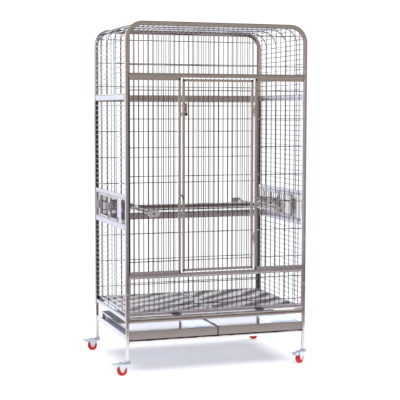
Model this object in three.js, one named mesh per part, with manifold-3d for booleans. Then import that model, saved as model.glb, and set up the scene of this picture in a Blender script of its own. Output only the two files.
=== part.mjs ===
// Stainless bird cage with a rounded top, standing on four braked swivel casters.
// Millimetres. X runs left to right, Y from the front to the back, Z up from the floor.
import * as THREE from 'three';
import { mergeVertices } from 'three/addons/utils/BufferGeometryUtils.js';
import Module from 'manifold-3d';

const wasm = await Module();
wasm.setup();

// ---- Driving dimensions ----
const WIDTH = 914; // between post centres, left to right
const DEPTH = 618; // between post centres, front to back
const HEIGHT = 1684; // floor to the top of the rounded tube
const LEG_END = 68; // floor to the open end of a post
const TUBE = 16; // square tube of the posts and the rounded top
const CORNER = 80; // centre-line radius of the rounded top's corners
const WIRE = 3.6; // wall wires
const PITCH = 24.94; // spacing of the closely set wires
const CROSS_PITCH = 136.2; // spacing of the widely set wires
const GAP = 0.4; // clearance between pieces that meet
const BITE = 3; // how far a wire or rail runs into the bar that holds it

// ---- Levels of the rails: [underside, top] ----
const TRAY_RAIL = [150, 169];
const BOTTOM_RAIL = [250, 272];
const SIDE_BOTTOM_RAIL = [256, 275];
const GRATE_LEVEL = [278, 294];
const SILL = [466, 482];
const FEEDER_LOW_RAIL = [692, 717];
const FEEDER_TOP_RAIL = [846, 863];
const BAND_RAIL = [1314, 1339];
const HEADER = [1420, 1435];

// ---- Door, panels and their fittings ----
const DOOR_HALF = 181.5; // half the door's width
const DOOR_BAR = 12;
const DOOR_LEVELS = [488, 1413.6];
const JAMB = [190, 202]; // panel bar beside the door, as distances from the middle
const HINGE_LEVELS = [640, 1262];
const HINGE_X = 185.7;
const HINGE_OUT = 11; // hinge axis, out from the wall's mid-plane
const BOLT_LEVEL = 1246.5;
const BOLT_THROW = 12;
const LATCH_LEVEL = 838;
const LATCH_X = -176;

// ---- Feeders: places along Y of the swing-out doors' openings ----
const FEEDER_OPENINGS = { front: [-152, 17], rear: [31, 229] };
const GUARD_PLATE = [-210, -152];
const FEEDER_HINGE_OUT = 9;
const BUTTON_LEVEL = 740;
const BOWL_RADIUS = 41;
const BOWL_RIM = 46;
const BOWL_HEIGHT = 49;
const BOWL_INWARD = 52; // bowl centre, inwards from the wall's mid-plane
const RING_TOP = 803.6;

// ---- Perch, grates, trays and casters ----
const PERCH_LEVEL = 772.5;
const PERCH_RAIL_X = 325.5;
const PERCH_RAIL_RADIUS = 10;
const PERCH_RADIUS = 13.5;
const CLAMP_HALF = [29, 17]; // half length and half height of a perch clamp plate
const GRATE_RODS = 33;
const TRAY_TOP = 209;
const TRAY_WALL = 1.5;
const WHEEL_RADIUS = 25;
const WHEEL_TRAIL = 27; // wheel centre behind the swivel axis
const PEDAL_REACH = 80; // pedal tip behind the swivel axis
const PEDAL_HALF = 11.6; // half the pedal's width
const FRONT_RIGHT_TURN = Math.PI * 28 / 180; // that caster stands turned towards the front
const SWIVEL_RADIUS = 15; // round plate under a post
const AXLE_HALF = 16;
const KNOB_OUT = 26.5; // face of the lock's knob, out from the wall's mid-plane
const HANDLE_X = 215;

const HALF_TUBE = TUBE / 2;
const POST_X = WIDTH / 2;
const POST_Y = DEPTH / 2;
const R = WIRE / 2;
const CLEAR_X = POST_X - HALF_TUBE; // inner faces of the posts
const CLEAR_Y = POST_Y - HALF_TUBE;
const TOP_LINE = HEIGHT - HALF_TUBE; // centre line of the rounded top
const BEND_LEVEL = TOP_LINE - CORNER; // where the corners start
// The casters trail to the left and the turned one reaches out at the front, so the cage is
// moved by half of each to bring the middle of the whole to the origin.
const TURNED_REACH =
  PEDAL_REACH * Math.sin(FRONT_RIGHT_TURN) + PEDAL_HALF * Math.cos(FRONT_RIGHT_TURN);
const SHIFT_X = (PEDAL_REACH - SWIVEL_RADIUS) / 2;
const SHIFT_Y = (TURNED_REACH - AXLE_HALF) / 2;

const finish = (color, roughness, metalness) =>
  new THREE.MeshStandardMaterial({ color, roughness, metalness });
const FINISHES = {
  tube: () => finish(0x9c9691, 0.3, 1),
  wire: () => finish(0x77716f, 0.35, 1),
  sheet: () => finish(0xa39b95, 0.25, 1),
  bowl: () => finish(0x8f8a84, 0.15, 1),
  dark: () => finish(0x4d4b49, 0.4, 1),
  zinc: () => finish(0xaebac0, 0.45, 0.8),
  red: () => finish(0xc8302c, 0.5, 0),
};

const cage = new THREE.Group();
cage.position.set(SHIFT_X, SHIFT_Y, 0);

// ---- Solids ----

function solid(geometry) {
  const bare = geometry.clone();
  bare.deleteAttribute('normal');
  bare.deleteAttribute('uv');
  const merged = mergeVertices(bare);
  return new wasm.Manifold(new wasm.Mesh({
    numProp: 3,
    vertProperties: new Float32Array(merged.attributes.position.array),
    triVerts: new Uint32Array(merged.index.array),
  }));
}

const join = (pieces) => pieces.reduce((whole, piece) => whole.add(piece));
const cut = (whole, pieces) => pieces.reduce((rest, piece) => rest.subtract(piece), whole);

function box(x, y, z) {
  const geometry = new THREE.BoxGeometry(x[1] - x[0], y[1] - y[0], z[1] - z[0]);
  geometry.translate((x[0] + x[1]) / 2, (y[0] + y[1]) / 2, (z[0] + z[1]) / 2);
  return solid(geometry);
}

// A round bar along one axis; middle gives its two other coordinates in X, Y, Z order.
function rod(axis, radius, middle, span, sides = 12) {
  const geometry = new THREE.CylinderGeometry(radius, radius, span[1] - span[0], sides);
  const centre = (span[0] + span[1]) / 2;
  if (axis === 'x') geometry.rotateZ(Math.PI / 2).translate(centre, middle[0], middle[1]);
  if (axis === 'y') geometry.translate(middle[0], centre, middle[1]);
  if (axis === 'z') geometry.rotateX(Math.PI / 2).translate(middle[0], middle[1], centre);
  return solid(geometry);
}

// A plate in the X-Z plane: points are [x, z], y is its two faces.
function plate(points, y) {
  const shape = new THREE.Shape(points.map(([x, z]) => new THREE.Vector2(x, z)));
  return extrudedAlongY(shape, y);
}

function extrudedAlongY(shape, y, curveSegments = 8) {
  const options = { depth: y[1] - y[0], bevelEnabled: false, curveSegments };
  const geometry = new THREE.ExtrudeGeometry(shape, options);
  return solid(geometry.rotateX(Math.PI / 2).translate(0, y[1], 0));
}

// A band bent over the rounded top: its mid-line is inset from the tube's centre line.
function archBand(inset, thickness, foot, y, curveSegments = 6) {
  const shape = new THREE.Shape();
  const outer = inset - thickness / 2;
  const inner = inset + thickness / 2;
  const corner = POST_X - CORNER;
  shape.moveTo(-POST_X + outer, foot);
  shape.lineTo(-POST_X + outer, BEND_LEVEL);
  shape.absarc(-corner, BEND_LEVEL, CORNER - outer, Math.PI, Math.PI / 2, true);
  shape.absarc(corner, BEND_LEVEL, CORNER - outer, Math.PI / 2, 0, true);
  shape.lineTo(POST_X - outer, foot);
  shape.lineTo(POST_X - inner, foot);
  shape.absarc(corner, BEND_LEVEL, CORNER - inner, 0, Math.PI / 2, false);
  shape.absarc(-corner, BEND_LEVEL, CORNER - inner, Math.PI / 2, Math.PI, false);
  shape.lineTo(-POST_X + inner, foot);
  shape.closePath();
  return extrudedAlongY(shape, y, curveSegments);
}

// Height of the band's mid-line above a place x, and its half width at a level z.
function archTop(x, inset) {
  const past = Math.abs(x) - (POST_X - CORNER);
  const radius = CORNER - inset;
  return BEND_LEVEL + (past <= 0 ? radius : Math.sqrt(radius ** 2 - past ** 2));
}

function archHalf(z, inset) {
  const past = Math.max(0, z - BEND_LEVEL);
  return POST_X - CORNER + Math.sqrt((CORNER - inset) ** 2 - past ** 2);
}

function add(name, whole, finishName, group = cage) {
  const mesh = whole.getMesh();
  const geometry = new THREE.BufferGeometry();
  geometry.setAttribute('position', new THREE.BufferAttribute(mesh.vertProperties, 3));
  geometry.setIndex(new THREE.BufferAttribute(mesh.triVerts, 1));
  const node = new THREE.Mesh(geometry, FINISHES[finishName]());
  node.name = name;
  group.add(node);
}

// ---- Walls: each takes ranges along the wall, outwards from its mid-plane, and in height ----

const WALLS = {
  front: (u, n, v) => box(u, [-POST_Y - n[1], -POST_Y - n[0]], v),
  back: (u, n, v) => box(u, [POST_Y + n[0], POST_Y + n[1]], v),
  left: (u, n, v) => box([-POST_X - n[1], -POST_X - n[0]], u, v),
  right: (u, n, v) => box([POST_X + n[0], POST_X + n[1]], u, v),
};
const OUTER_LAYER = [0.3, 0.3 + WIRE];
const INNER_LAYER = [-0.1 - WIRE, -0.1];

// Places of `count` wires with equal gaps between two faces.
function evenly(from, to, count) {
  return Array.from({ length: count }, (_, i) => from + (i + 1) * (to - from) / (count + 1));
}

// Places spaced by a fixed pitch on both sides of a middle.
function centred(middle, pitch, count) {
  return Array.from({ length: count }, (_, i) => middle + (i - (count - 1) / 2) * pitch);
}

function border(wall, u, v, bars, n) {
  return join([
    wall([u[0], u[0] + bars.start], n, v),
    wall([u[1] - bars.end, u[1]], n, v),
    wall(u, n, [v[0], v[0] + bars.bottom]),
    wall(u, n, [v[1] - bars.top, v[1]]),
  ]);
}

const uprights = (wall, places, v, layer) => places.map((u) => wall([u - R, u + R], layer, v));
const crossWires = (wall, levels, u, layer) => levels.map((v) => wall(u, layer, [v - R, v + R]));

// ---- Front and back frames ----

function endFrame(wall, y, rails) {
  const reach = [-CLEAR_X - BITE, CLEAR_X + BITE];
  const bars = rails.map((level) => wall(reach, [-HALF_TUBE, HALF_TUBE], level));
  const frame = join([archBand(0, TUBE, LEG_END, [y - HALF_TUBE, y + HALF_TUBE], 10), ...bars]);
  const bores = [-POST_X, POST_X].map((x) => rod('z', 5.4, [x, y], [LEG_END - 1, LEG_END + 46]));
  return cut(frame, bores);
}

// Wires that fill the rounded top between a rail and the bent tube.
function roundedGrille(wall, y, foot, levels) {
  const inset = HALF_TUBE + GAP + 2.5;
  const edge = archBand(inset, 5, foot, [y - 4.5, y + 4.5]);
  const sill = wall([-CLEAR_X + GAP, CLEAR_X - GAP], [-4.5, 4.5], [foot, foot + 5]);
  const places = evenly(-CLEAR_X, CLEAR_X, 35);
  const standing = places.map((x) =>
    wall([x - R, x + R], OUTER_LAYER, [foot + 2, archTop(x, inset)]));
  const lying = levels.map((z) =>
    wall([-archHalf(z, inset), archHalf(z, inset)], INNER_LAYER, [z - R, z + R]));
  return join([edge, sill, ...standing, ...lying]);
}

function flatGrille(wall, u, v, bars, places, levels, n = [-4.5, 4.5]) {
  const edge = border(wall, u, v, bars, n);
  const up = [v[0] + bars.bottom - BITE, v[1] - bars.top + BITE];
  const across = [u[0] + bars.start - BITE, u[1] - bars.end + BITE];
  return join([
    edge,
    ...uprights(wall, places, up, OUTER_LAYER),
    ...crossWires(wall, levels, across, INNER_LAYER),
  ]);
}

function frontAndBack() {
  const thin = { start: 5, end: 5, bottom: 5, top: 5 };
  const span = [-CLEAR_X + GAP, CLEAR_X - GAP];
  const wide = evenly(-CLEAR_X, CLEAR_X, 35);

  add('front_frame', endFrame(WALLS.front, -POST_Y, [TRAY_RAIL, BOTTOM_RAIL, SILL, HEADER]), 'tube');
  add('front_upper_grille',
    roundedGrille(WALLS.front, -POST_Y, HEADER[1] + GAP, [1478, 1626]), 'wire');
  add('front_lower_grille',
    flatGrille(WALLS.front, span, [296, SILL[0] - GAP], thin, wide, [327, 441]), 'wire');

  add('back_frame', endFrame(WALLS.back, POST_Y,
    [TRAY_RAIL, SIDE_BOTTOM_RAIL, FEEDER_LOW_RAIL, BAND_RAIL]), 'tube');
  add('back_upper_grille',
    roundedGrille(WALLS.back, POST_Y, BAND_RAIL[1] + GAP, [1388, 1509.5, 1631]), 'wire');
  const crosses = centred(812.3, CROSS_PITCH, 8);
  const lower = [SIDE_BOTTOM_RAIL[1] + GAP, FEEDER_LOW_RAIL[0] - GAP];
  const middle = [FEEDER_LOW_RAIL[1] + GAP, BAND_RAIL[0] - GAP];
  add('back_lower_grille',
    flatGrille(WALLS.back, span, lower, thin, wide, crosses.slice(0, 3)), 'wire');
  add('back_middle_grille',
    flatGrille(WALLS.back, span, middle, thin, wide, crosses.slice(3)), 'wire');
}

// ---- Fixed panels beside the door, and the door with its hinges ----

const DOOR_MIDDLE = (DOOR_LEVELS[0] + DOOR_LEVELS[1]) / 2;
const BAR_N = [-DOOR_BAR / 2, DOOR_BAR / 2];

function fixedPanel(side) {
  const bars = { start: 5.6, end: 12, bottom: 12.6, top: 13.6 };
  const ends = [CLEAR_X - GAP, JAMB[0]].map((x) => side * x).sort((a, b) => a - b);
  if (side > 0) [bars.start, bars.end] = [bars.end, bars.start];
  const places = evenly(JAMB[1], CLEAR_X, 9).map((x) => side * x);
  const levels = [SILL[1] + GAP, HEADER[0] - GAP];
  return flatGrille(WALLS.front, ends, levels, bars, places,
    centred(DOOR_MIDDLE, CROSS_PITCH, 7), BAR_N);
}

function doorWithKnuckles() {
  const bars = { start: DOOR_BAR, end: DOOR_BAR, bottom: DOOR_BAR, top: DOOR_BAR };
  const leaf = flatGrille(WALLS.front, [-DOOR_HALF, DOOR_HALF], DOOR_LEVELS, bars,
    centred(0, 24.9, 13), centred(DOOR_MIDDLE, CROSS_PITCH, 7), BAR_N);
  const axis = [HINGE_X, -POST_Y - HINGE_OUT];
  const knuckles = HINGE_LEVELS.map((z) => cut(
    rod('z', 4, axis, [z - 14, z + 14]).add(
      WALLS.front([HINGE_X - 10, HINGE_X], [5.4, HINGE_OUT - 0.5], [z - 14, z + 14])),
    [rod('z', 2.3, axis, [z - 15, z + 15])]));
  const stud = rod('y', 2, [LATCH_X, LATCH_LEVEL], [-POST_Y - 14, -POST_Y - 5]);
  const head = rod('y', 4, [LATCH_X, LATCH_LEVEL], [-POST_Y - 14, -POST_Y - 12]);
  return join([leaf, ...knuckles, stud, head]);
}

function hingeLeaf(z) {
  const axis = [HINGE_X, -POST_Y - HINGE_OUT];
  const ends = [[z - 28, z - 14.4], [z + 14.4, z + 28]];
  return join([
    WALLS.front([HINGE_X + 4.6, 200], [6.4, 8.4], [z - 28, z + 28]),
    rod('z', 2, axis, [z - 28, z + 28]),
    ...ends.map((v) => rod('z', 4, axis, v)),
    ...ends.map((v) => WALLS.front([HINGE_X, HINGE_X + 6], [6.4, HINGE_OUT - 0.5], v)),
  ]);
}

// ---- Lock on the door's free edge: a case, a sliding bolt with a round knob, and a keeper ----

function lockCase() {
  const half = 3.9;
  const body = WALLS.front([-184, -164], [6.4, 22], [BOLT_LEVEL - 10, BOLT_LEVEL + 52]);
  return cut(body, [
    WALLS.front([-185, -166.4], [10.5, 18.3], [BOLT_LEVEL - half, BOLT_LEVEL + half]),
    WALLS.front([-182.4, -166.4], [18, 23], [BOLT_LEVEL - 1.9, BOLT_LEVEL + 1.9]),
  ]);
}

function lockBolt() {
  const middle = [-168.5, BOLT_LEVEL];
  return join([
    WALLS.front([-183.6, -166.9], [10.9, 17.9], [BOLT_LEVEL - 3.5, BOLT_LEVEL + 3.5]),
    rod('y', 1.5, middle, [-POST_Y - 24, -POST_Y - 17]),
    rod('y', 6, middle, [-POST_Y - KNOB_OUT, -POST_Y - 22.5], 20),
  ]);
}

function lockKeeper() {
  const plateBar = WALLS.front([-202, -190.6], [6.4, 8.4], [BOLT_LEVEL - 14, BOLT_LEVEL + 46]);
  const staple = WALLS.front([-202, -190.6], [6.4, 21], [BOLT_LEVEL - 9, BOLT_LEVEL + 9]);
  const mouth = WALLS.front([-199, -190], [10, 18.8], [BOLT_LEVEL - 4.5, BOLT_LEVEL + 4.5]);
  return cut(plateBar.add(staple), [mouth]);
}

// ---- Gravity latch half way up the door: a lever that drops into an open catch ----

function latchLever() {
  const length = 27;
  const lift = Math.PI / 3; // the lever is stored lifted clear of its catch
  const arm = new THREE.BoxGeometry(length, 2, 6).translate(-length / 2, 0, 0);
  arm.rotateY(lift).translate(LATCH_X, -POST_Y - 10.4, LATCH_LEVEL);
  const y = [-POST_Y - 11.4, -POST_Y - 9.4];
  const boss = rod('y', 5, [LATCH_X, LATCH_LEVEL], y, 16);
  const hole = rod('y', 2.5, [LATCH_X, LATCH_LEVEL], [y[0] - 1, y[1] + 1], 16);
  return cut(solid(arm).add(boss), [hole]);
}

function latchCatch() {
  return join([
    WALLS.front([-202, -190.6], [6.4, 8.4], [LATCH_LEVEL - 36, LATCH_LEVEL + 36]),
    WALLS.front([-202, -194], [6.4, 14.6], [LATCH_LEVEL - 9, LATCH_LEVEL - 4.4]),
    WALLS.front([-202, -194], [12.6, 14.6], [LATCH_LEVEL - 9, LATCH_LEVEL + 5]),
  ]);
}

function doorFittings() {
  add('front_left_panel', fixedPanel(-1), 'wire');
  add('front_right_panel', fixedPanel(1), 'wire');
  add('front_door', doorWithKnuckles(), 'wire');
  add('lower_door_hinge', hingeLeaf(HINGE_LEVELS[0]), 'tube');
  add('upper_door_hinge', hingeLeaf(HINGE_LEVELS[1]), 'tube');
  add('lock_case', lockCase(), 'tube');
  add('lock_bolt', lockBolt(), 'dark');
  add('lock_keeper', lockKeeper(), 'tube');
  add('latch_lever', latchLever(), 'dark');
  add('latch_catch', latchCatch(), 'tube');
}

// ---- Side panels: closely set wires run front to back, with a few uprights inside them ----

function sidePanel(wall, v, bottom, top) {
  const span = [-CLEAR_Y + GAP, CLEAR_Y - GAP];
  const bars = { start: 8, end: 8, bottom, top };
  const edge = border(wall, span, v, bars, [-6, 6]);
  const free = [v[0] + bottom, v[1] - top];
  const count = Math.round((free[1] - free[0]) / PITCH) - 1;
  const across = [span[0] + 8 - BITE, span[1] - 8 + BITE];
  return join([
    edge,
    ...crossWires(wall, evenly(free[0], free[1], count), across, OUTER_LAYER),
    ...uprights(wall, centred(0, CROSS_PITCH, 4), [free[0] - BITE, free[1] + BITE], INNER_LAYER),
  ]);
}

// ---- Feeder strip: uprights, guard plate, hinge pins and button studs ----

const FEEDER_LEVELS = [FEEDER_LOW_RAIL[1] + GAP, FEEDER_TOP_RAIL[0] - GAP];
const FEEDER_MIDDLE = (FEEDER_LEVELS[0] + FEEDER_LEVELS[1]) / 2;
const buttonPlace = (opening) => opening[0] - 5.5;

function feederStrip(side, wall) {
  const across = (n) => side * (POST_X + n);
  const pieces = [border(wall, [-CLEAR_Y + GAP, CLEAR_Y - GAP], FEEDER_LEVELS,
    { start: 8, end: 8, bottom: 5.6, top: 5.6 }, [-5, 5])];
  const { front, rear } = FEEDER_OPENINGS;
  pieces.push(wall([front[1], rear[0]], [-5, 5], FEEDER_LEVELS));
  pieces.push(wall([rear[1], rear[1] + 14], [-5, 5], FEEDER_LEVELS));
  pieces.push(wall(GUARD_PLATE, [2, 5], FEEDER_LEVELS));
  const fillers = [...evenly(-CLEAR_Y + 8, GUARD_PLATE[0], 3), (rear[1] + 14 + CLEAR_Y - 8) / 2];
  pieces.push(...uprights(wall, fillers, FEEDER_LEVELS, OUTER_LAYER));
  for (const opening of [front, rear]) {
    const axis = [across(FEEDER_HINGE_OUT), opening[1] + 0.5];
    const ends = [[FEEDER_MIDDLE - 22, FEEDER_MIDDLE - 8.4], [FEEDER_MIDDLE + 8.4, FEEDER_MIDDLE + 22]];
    pieces.push(rod('z', 1.7, axis, [ends[0][0], ends[1][1]]));
    for (const v of ends) {
      pieces.push(rod('z', 3.5, axis, v));
      pieces.push(wall([axis[1], axis[1] + 6], [4.5, FEEDER_HINGE_OUT], v));
    }
    const middle = [buttonPlace(opening), BUTTON_LEVEL];
    const stem = [across(4), across(8.6)].sort((a, b) => a - b);
    const head = [across(8.2), across(9.8)].sort((a, b) => a - b);
    pieces.push(rod('x', 2.2, middle, stem), rod('x', 4, middle, head));
  }
  return join(pieces);
}

function turnButton(side, opening) {
  const place = buttonPlace(opening);
  const x = [side * (POST_X + 5.4), side * (POST_X + 7.6)].sort((a, b) => a - b);
  const disc = rod('x', 4, [place, BUTTON_LEVEL], x, 16);
  const arm = box(x, [place - 3.2, place + 3.2], [BUTTON_LEVEL - 15.5, BUTTON_LEVEL]);
  const hole = rod('x', 2.6, [place, BUTTON_LEVEL], [x[0] - 1, x[1] + 1], 16);
  return cut(disc.add(arm), [hole]);
}

function lathe(points, segments) {
  const geometry = new THREE.LatheGeometry(points.map(([r, z]) => new THREE.Vector2(r, z)), segments);
  return geometry.rotateX(Math.PI / 2);
}

function feederDoor(side, wall, opening) {
  const u = [opening[0] + 2, opening[1] - 2];
  const v = [FEEDER_LEVELS[0] + 7.6, FEEDER_LEVELS[1] - 7.6];
  const bars = { start: 10, end: 10, bottom: 8, top: 8 };
  const count = Math.round((u[1] - u[0] - 20) / PITCH) - 1;
  const places = evenly(u[0] + 10, u[1] - 10, count);
  const middle = (u[0] + u[1]) / 2;
  const edge = opening[1];
  const axis = [side * (POST_X + FEEDER_HINGE_OUT), edge + 0.5];
  const knuckle = [FEEDER_MIDDLE - 8, FEEDER_MIDDLE + 8];
  const ring = lathe([[42, 0], [46.5, 0], [46.5, 4], [42, 4], [42, 0]], 20);
  ring.translate(side * (POST_X - BOWL_INWARD), middle, RING_TOP - 4);
  const whole = join([
    border(wall, u, v, bars, [-4, 4]),
    ...uprights(wall, places, [v[0] + 4, v[1] - 4], [-R, R]),
    wall([u[0] + 5, u[1] - 5], [-4, -1], [RING_TOP - 6, RING_TOP + 1]),
    solid(ring),
    wall([middle - 12, middle + 12], [-9, -2], [RING_TOP - 4, RING_TOP]),
    wall([edge - 10, edge - 2.6], [3.4, 6.5], knuckle),
    wall([edge - 10, edge + 0.5], [5.6, FEEDER_HINGE_OUT], knuckle),
    rod('z', 3.4, axis, knuckle),
  ]);
  return cut(whole, [rod('z', 2.1, axis, [knuckle[0] - 1, knuckle[1] + 1])]);
}

function bowl(side, opening) {
  const middle = (opening[0] + opening[1]) / 2;
  const seat = BOWL_HEIGHT - 1.4;
  const shell = lathe([
    [0, 0], [30, 0], [BOWL_RADIUS, 43], [BOWL_RADIUS, seat], [BOWL_RIM, seat],
    [BOWL_RIM, BOWL_HEIGHT], [BOWL_RADIUS - 1.4, BOWL_HEIGHT], [28.5, 1.6], [0, 1.6],
  ], 20);
  shell.translate(side * (POST_X - BOWL_INWARD), middle, RING_TOP + GAP - seat);
  return solid(shell);
}

function sides() {
  for (const [name, side] of [['left', -1], ['right', 1]]) {
    const wall = WALLS[name];
    add(`${name}_lower_panel`,
      sidePanel(wall, [SIDE_BOTTOM_RAIL[0], FEEDER_LOW_RAIL[1]], 19, 25), 'wire');
    add(`${name}_upper_panel`,
      sidePanel(wall, [FEEDER_TOP_RAIL[0], BAND_RAIL[1]], 17, 25), 'wire');
    add(`${name}_feeder_strip`, feederStrip(side, wall), 'tube');
    for (const [end, opening] of Object.entries(FEEDER_OPENINGS)) {
      add(`${name}_${end}_feeder_door`, feederDoor(side, wall, opening), 'wire');
      add(`${name}_${end}_bowl`, bowl(side, opening), 'bowl');
      add(`${name}_${end}_turn_button`, turnButton(side, opening), 'dark');
    }
  }
}

// ---- Roof: two end hoops, wires from front to back round the bend, and three inner hoops ----

// Point and slope angle at a distance along the bent mid-line, from the left foot upwards.
function alongArch(distance, foot) {
  const rise = BEND_LEVEL - foot;
  const bend = Math.PI / 2 * CORNER;
  const top = 2 * (POST_X - CORNER);
  if (distance < rise) return { x: -POST_X, z: foot + distance, angle: 0 };
  if (distance < rise + bend) {
    const angle = (distance - rise) / CORNER;
    const corner = POST_X - CORNER;
    return { x: -corner - CORNER * Math.cos(angle), z: BEND_LEVEL + CORNER * Math.sin(angle), angle };
  }
  if (distance <= rise + bend + top / 2) {
    return { x: -POST_X + CORNER + distance - rise - bend, z: TOP_LINE, angle: Math.PI / 2 };
  }
  const mirrored = alongArch(2 * (rise + bend) + top - distance, foot);
  return { x: -mirrored.x, z: mirrored.z, angle: Math.PI - mirrored.angle };
}

function roof() {
  const foot = BAND_RAIL[1] + GAP;
  const end = CLEAR_Y - GAP;
  const pieces = [archBand(0, 8, foot, [-end, -end + 8]), archBand(0, 8, foot, [end - 8, end])];
  for (const wall of [WALLS.left, WALLS.right]) {
    pieces.push(wall([-end, end], [-4, 4], [foot, foot + 6]));
  }
  const length = 2 * (BEND_LEVEL - foot) + Math.PI * CORNER + 2 * (POST_X - CORNER);
  const outwards = OUTER_LAYER[0] + R;
  for (const distance of evenly(6, length - 6, Math.round(length / PITCH) - 1)) {
    const { x, z, angle } = alongArch(distance, foot);
    const wire = new THREE.BoxGeometry(WIRE, 2 * (end - 4), WIRE).rotateY(angle);
    wire.translate(x - outwards * Math.cos(angle), 0, z + outwards * Math.sin(angle));
    pieces.push(solid(wire));
  }
  for (const y of centred(0, CROSS_PITCH, 4)) {
    pieces.push(archBand(-(INNER_LAYER[0] + INNER_LAYER[1]) / 2, WIRE, foot + 2, [y - R, y + R]));
  }
  add('roof_panel', join(pieces), 'wire');
}

// ---- Perch: two rails whose end plates clamp the front and back wires, and a tube ----

function clampPlate(x, y) {
  const shape = new THREE.Shape();
  const [halfWidth, halfHeight] = CLAMP_HALF;
  const straight = halfWidth - halfHeight;
  shape.absarc(x + straight, PERCH_LEVEL, halfHeight, -Math.PI / 2, Math.PI / 2, false);
  shape.absarc(x - straight, PERCH_LEVEL, halfHeight, Math.PI / 2, 3 * Math.PI / 2, false);
  shape.closePath();
  return extrudedAlongY(shape, y, 6);
}

function perchRail(side) {
  const x = side * PERCH_RAIL_X;
  const inner = POST_Y - 4.2;
  const pieces = [rod('y', PERCH_RAIL_RADIUS, [x, PERCH_LEVEL], [-inner + 2, inner - 2])];
  for (const end of [-1, 1]) {
    const range = (a, b) => [end * a, end * b].sort((p, q) => p - q);
    pieces.push(clampPlate(x, range(inner - 4, inner)));
    pieces.push(clampPlate(x, range(POST_Y + 4.4, POST_Y + 7.4)));
    for (const offset of [-PITCH / 2, PITCH / 2]) {
      pieces.push(rod('y', 2.5, [x + offset, PERCH_LEVEL], range(inner - 1, POST_Y + 5), 8));
    }
  }
  return join(pieces);
}

function perches() {
  add('left_perch_rail', perchRail(-1), 'tube');
  add('right_perch_rail', perchRail(1), 'tube');
  const end = PERCH_RAIL_X - PERCH_RAIL_RADIUS - GAP;
  add('perch', rod('x', PERCH_RADIUS, [0, PERCH_LEVEL], [-end, end], 16), 'tube');
}

// ---- Runners, grates and trays ----

function trayRail(wall) {
  const span = [-CLEAR_Y + GAP, CLEAR_Y - GAP];
  return join([
    wall(span, [0, 4], [163, 188]),
    wall(span, [-21, 1], [163, TRAY_RAIL[1]]),
  ]);
}

function centreRunner() {
  const span = [-CLEAR_Y + GAP, CLEAR_Y - GAP];
  return join([
    box([-9, 9], span, [SIDE_BOTTOM_RAIL[0], SIDE_BOTTOM_RAIL[1]]),
    box([-16, 16], span, [163, TRAY_RAIL[1]]),
    box([-7, 7], [span[1] - 8, span[1]], [164, 260]),
  ]);
}

function grate(side) {
  const x = [side * 1.2, side * (CLEAR_X - 1.6)].sort((a, b) => a - b);
  const y = [-POST_Y - 7, CLEAR_Y - 5];
  const [low, high] = GRATE_LEVEL;
  const middle = (low + high) / 2;
  const pieces = [
    box(x, [y[0], y[0] + 12], GRATE_LEVEL),
    box(x, [y[1] - 8, y[1]], [low, low + 10]),
    box([x[0], x[0] + 8], [y[0] + 6, y[1]], [low, low + 10]),
    box([x[1] - 8, x[1]], [y[0] + 6, y[1]], [low, low + 10]),
  ];
  const rodSpan = [y[0] + 12 - BITE, y[1] - 8 + BITE];
  for (const place of evenly(x[0] + 8, x[1] - 8, GRATE_RODS)) {
    pieces.push(box([place - R, place + R], rodSpan, [middle - 2, middle - 2 + WIRE - 0.6]));
  }
  for (const place of centred(0, 2 * CROSS_PITCH, 2)) {
    const cross = [x[0] + 8 - BITE, x[1] - 8 + BITE];
    pieces.push(box(cross, [place - R, place + R], [low + 1, middle - 2.4]));
  }
  return join(pieces);
}

// A flattened round pull on the front of a grate.
function grateHandle(side) {
  const shape = new THREE.Shape();
  shape.absellipse(side * HANDLE_X, 286, 25, 7, 0, 2 * Math.PI, false, 0);
  return extrudedAlongY(shape, [-POST_Y - 21, -POST_Y - 7.4], 6);
}

function tray(side) {
  const x = [side * 3, side * (CLEAR_X - 3)].sort((a, b) => a - b);
  const y = [-POST_Y - 7.5, CLEAR_Y - 10];
  const floor = TRAY_RAIL[1] + GAP;
  const wall = TRAY_WALL;
  const inset = 7;
  const body = box([x[0] + inset, x[1] - inset], [y[0], y[1]], [floor, TRAY_TOP]);
  const hollow = box([x[0] + inset + wall, x[1] - inset - wall],
    [y[0] + wall, y[1] - wall], [floor + wall, TRAY_TOP + 1]);
  const lips = [
    box([x[0], x[0] + inset + 1], [y[0] + 11, y[1]], [TRAY_TOP - wall, TRAY_TOP]),
    box([x[1] - inset - 1, x[1]], [y[0] + 11, y[1]], [TRAY_TOP - wall, TRAY_TOP]),
    box([x[0], x[1]], [y[0], y[0] + wall], [floor, TRAY_TOP]),
  ];
  return join([cut(body, [hollow]), ...lips]);
}

function floorParts() {
  add('left_tray_rail', trayRail(WALLS.left), 'tube');
  add('right_tray_rail', trayRail(WALLS.right), 'tube');
  add('centre_runner', centreRunner(), 'tube');
  for (const [name, side] of [['left', -1], ['right', 1]]) {
    add(`${name}_grate`, grate(side), 'wire');
    add(`${name}_grate_handle`, grateHandle(side), 'dark');
    add(`${name}_tray`, tray(side), 'sheet');
  }
}

// ---- Casters, each in a frame with its swivel axis at the origin and its wheel to the left ----

const AXLE_X = -WHEEL_TRAIL;
const PEDAL_PIN = [AXLE_X - 6.5, 56.5];

function casterFork() {
  const cheek = [[14, 61], [AXLE_X - 12, 61], [AXLE_X - 16, 50], [AXLE_X - 15, 38], [AXLE_X - 8, 19],
    [AXLE_X + 8, 19], [AXLE_X + 16, 36], [14, 54]];
  return join([
    rod('z', 5, [0, 0], [58, LEG_END + 42]),
    rod('z', SWIVEL_RADIUS, [0, 0], [59, LEG_END - GAP], 16),
    box([AXLE_X + 2, 14], [-14.5, 14.5], [55, 61]),
    plate(cheek, [12, 14.5]),
    plate(cheek, [-14.5, -12]),
    rod('y', 4, [AXLE_X, WHEEL_RADIUS], [-AXLE_HALF, AXLE_HALF]),
    rod('y', 1.6, PEDAL_PIN, [-14, 14]),
  ]);
}

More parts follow.
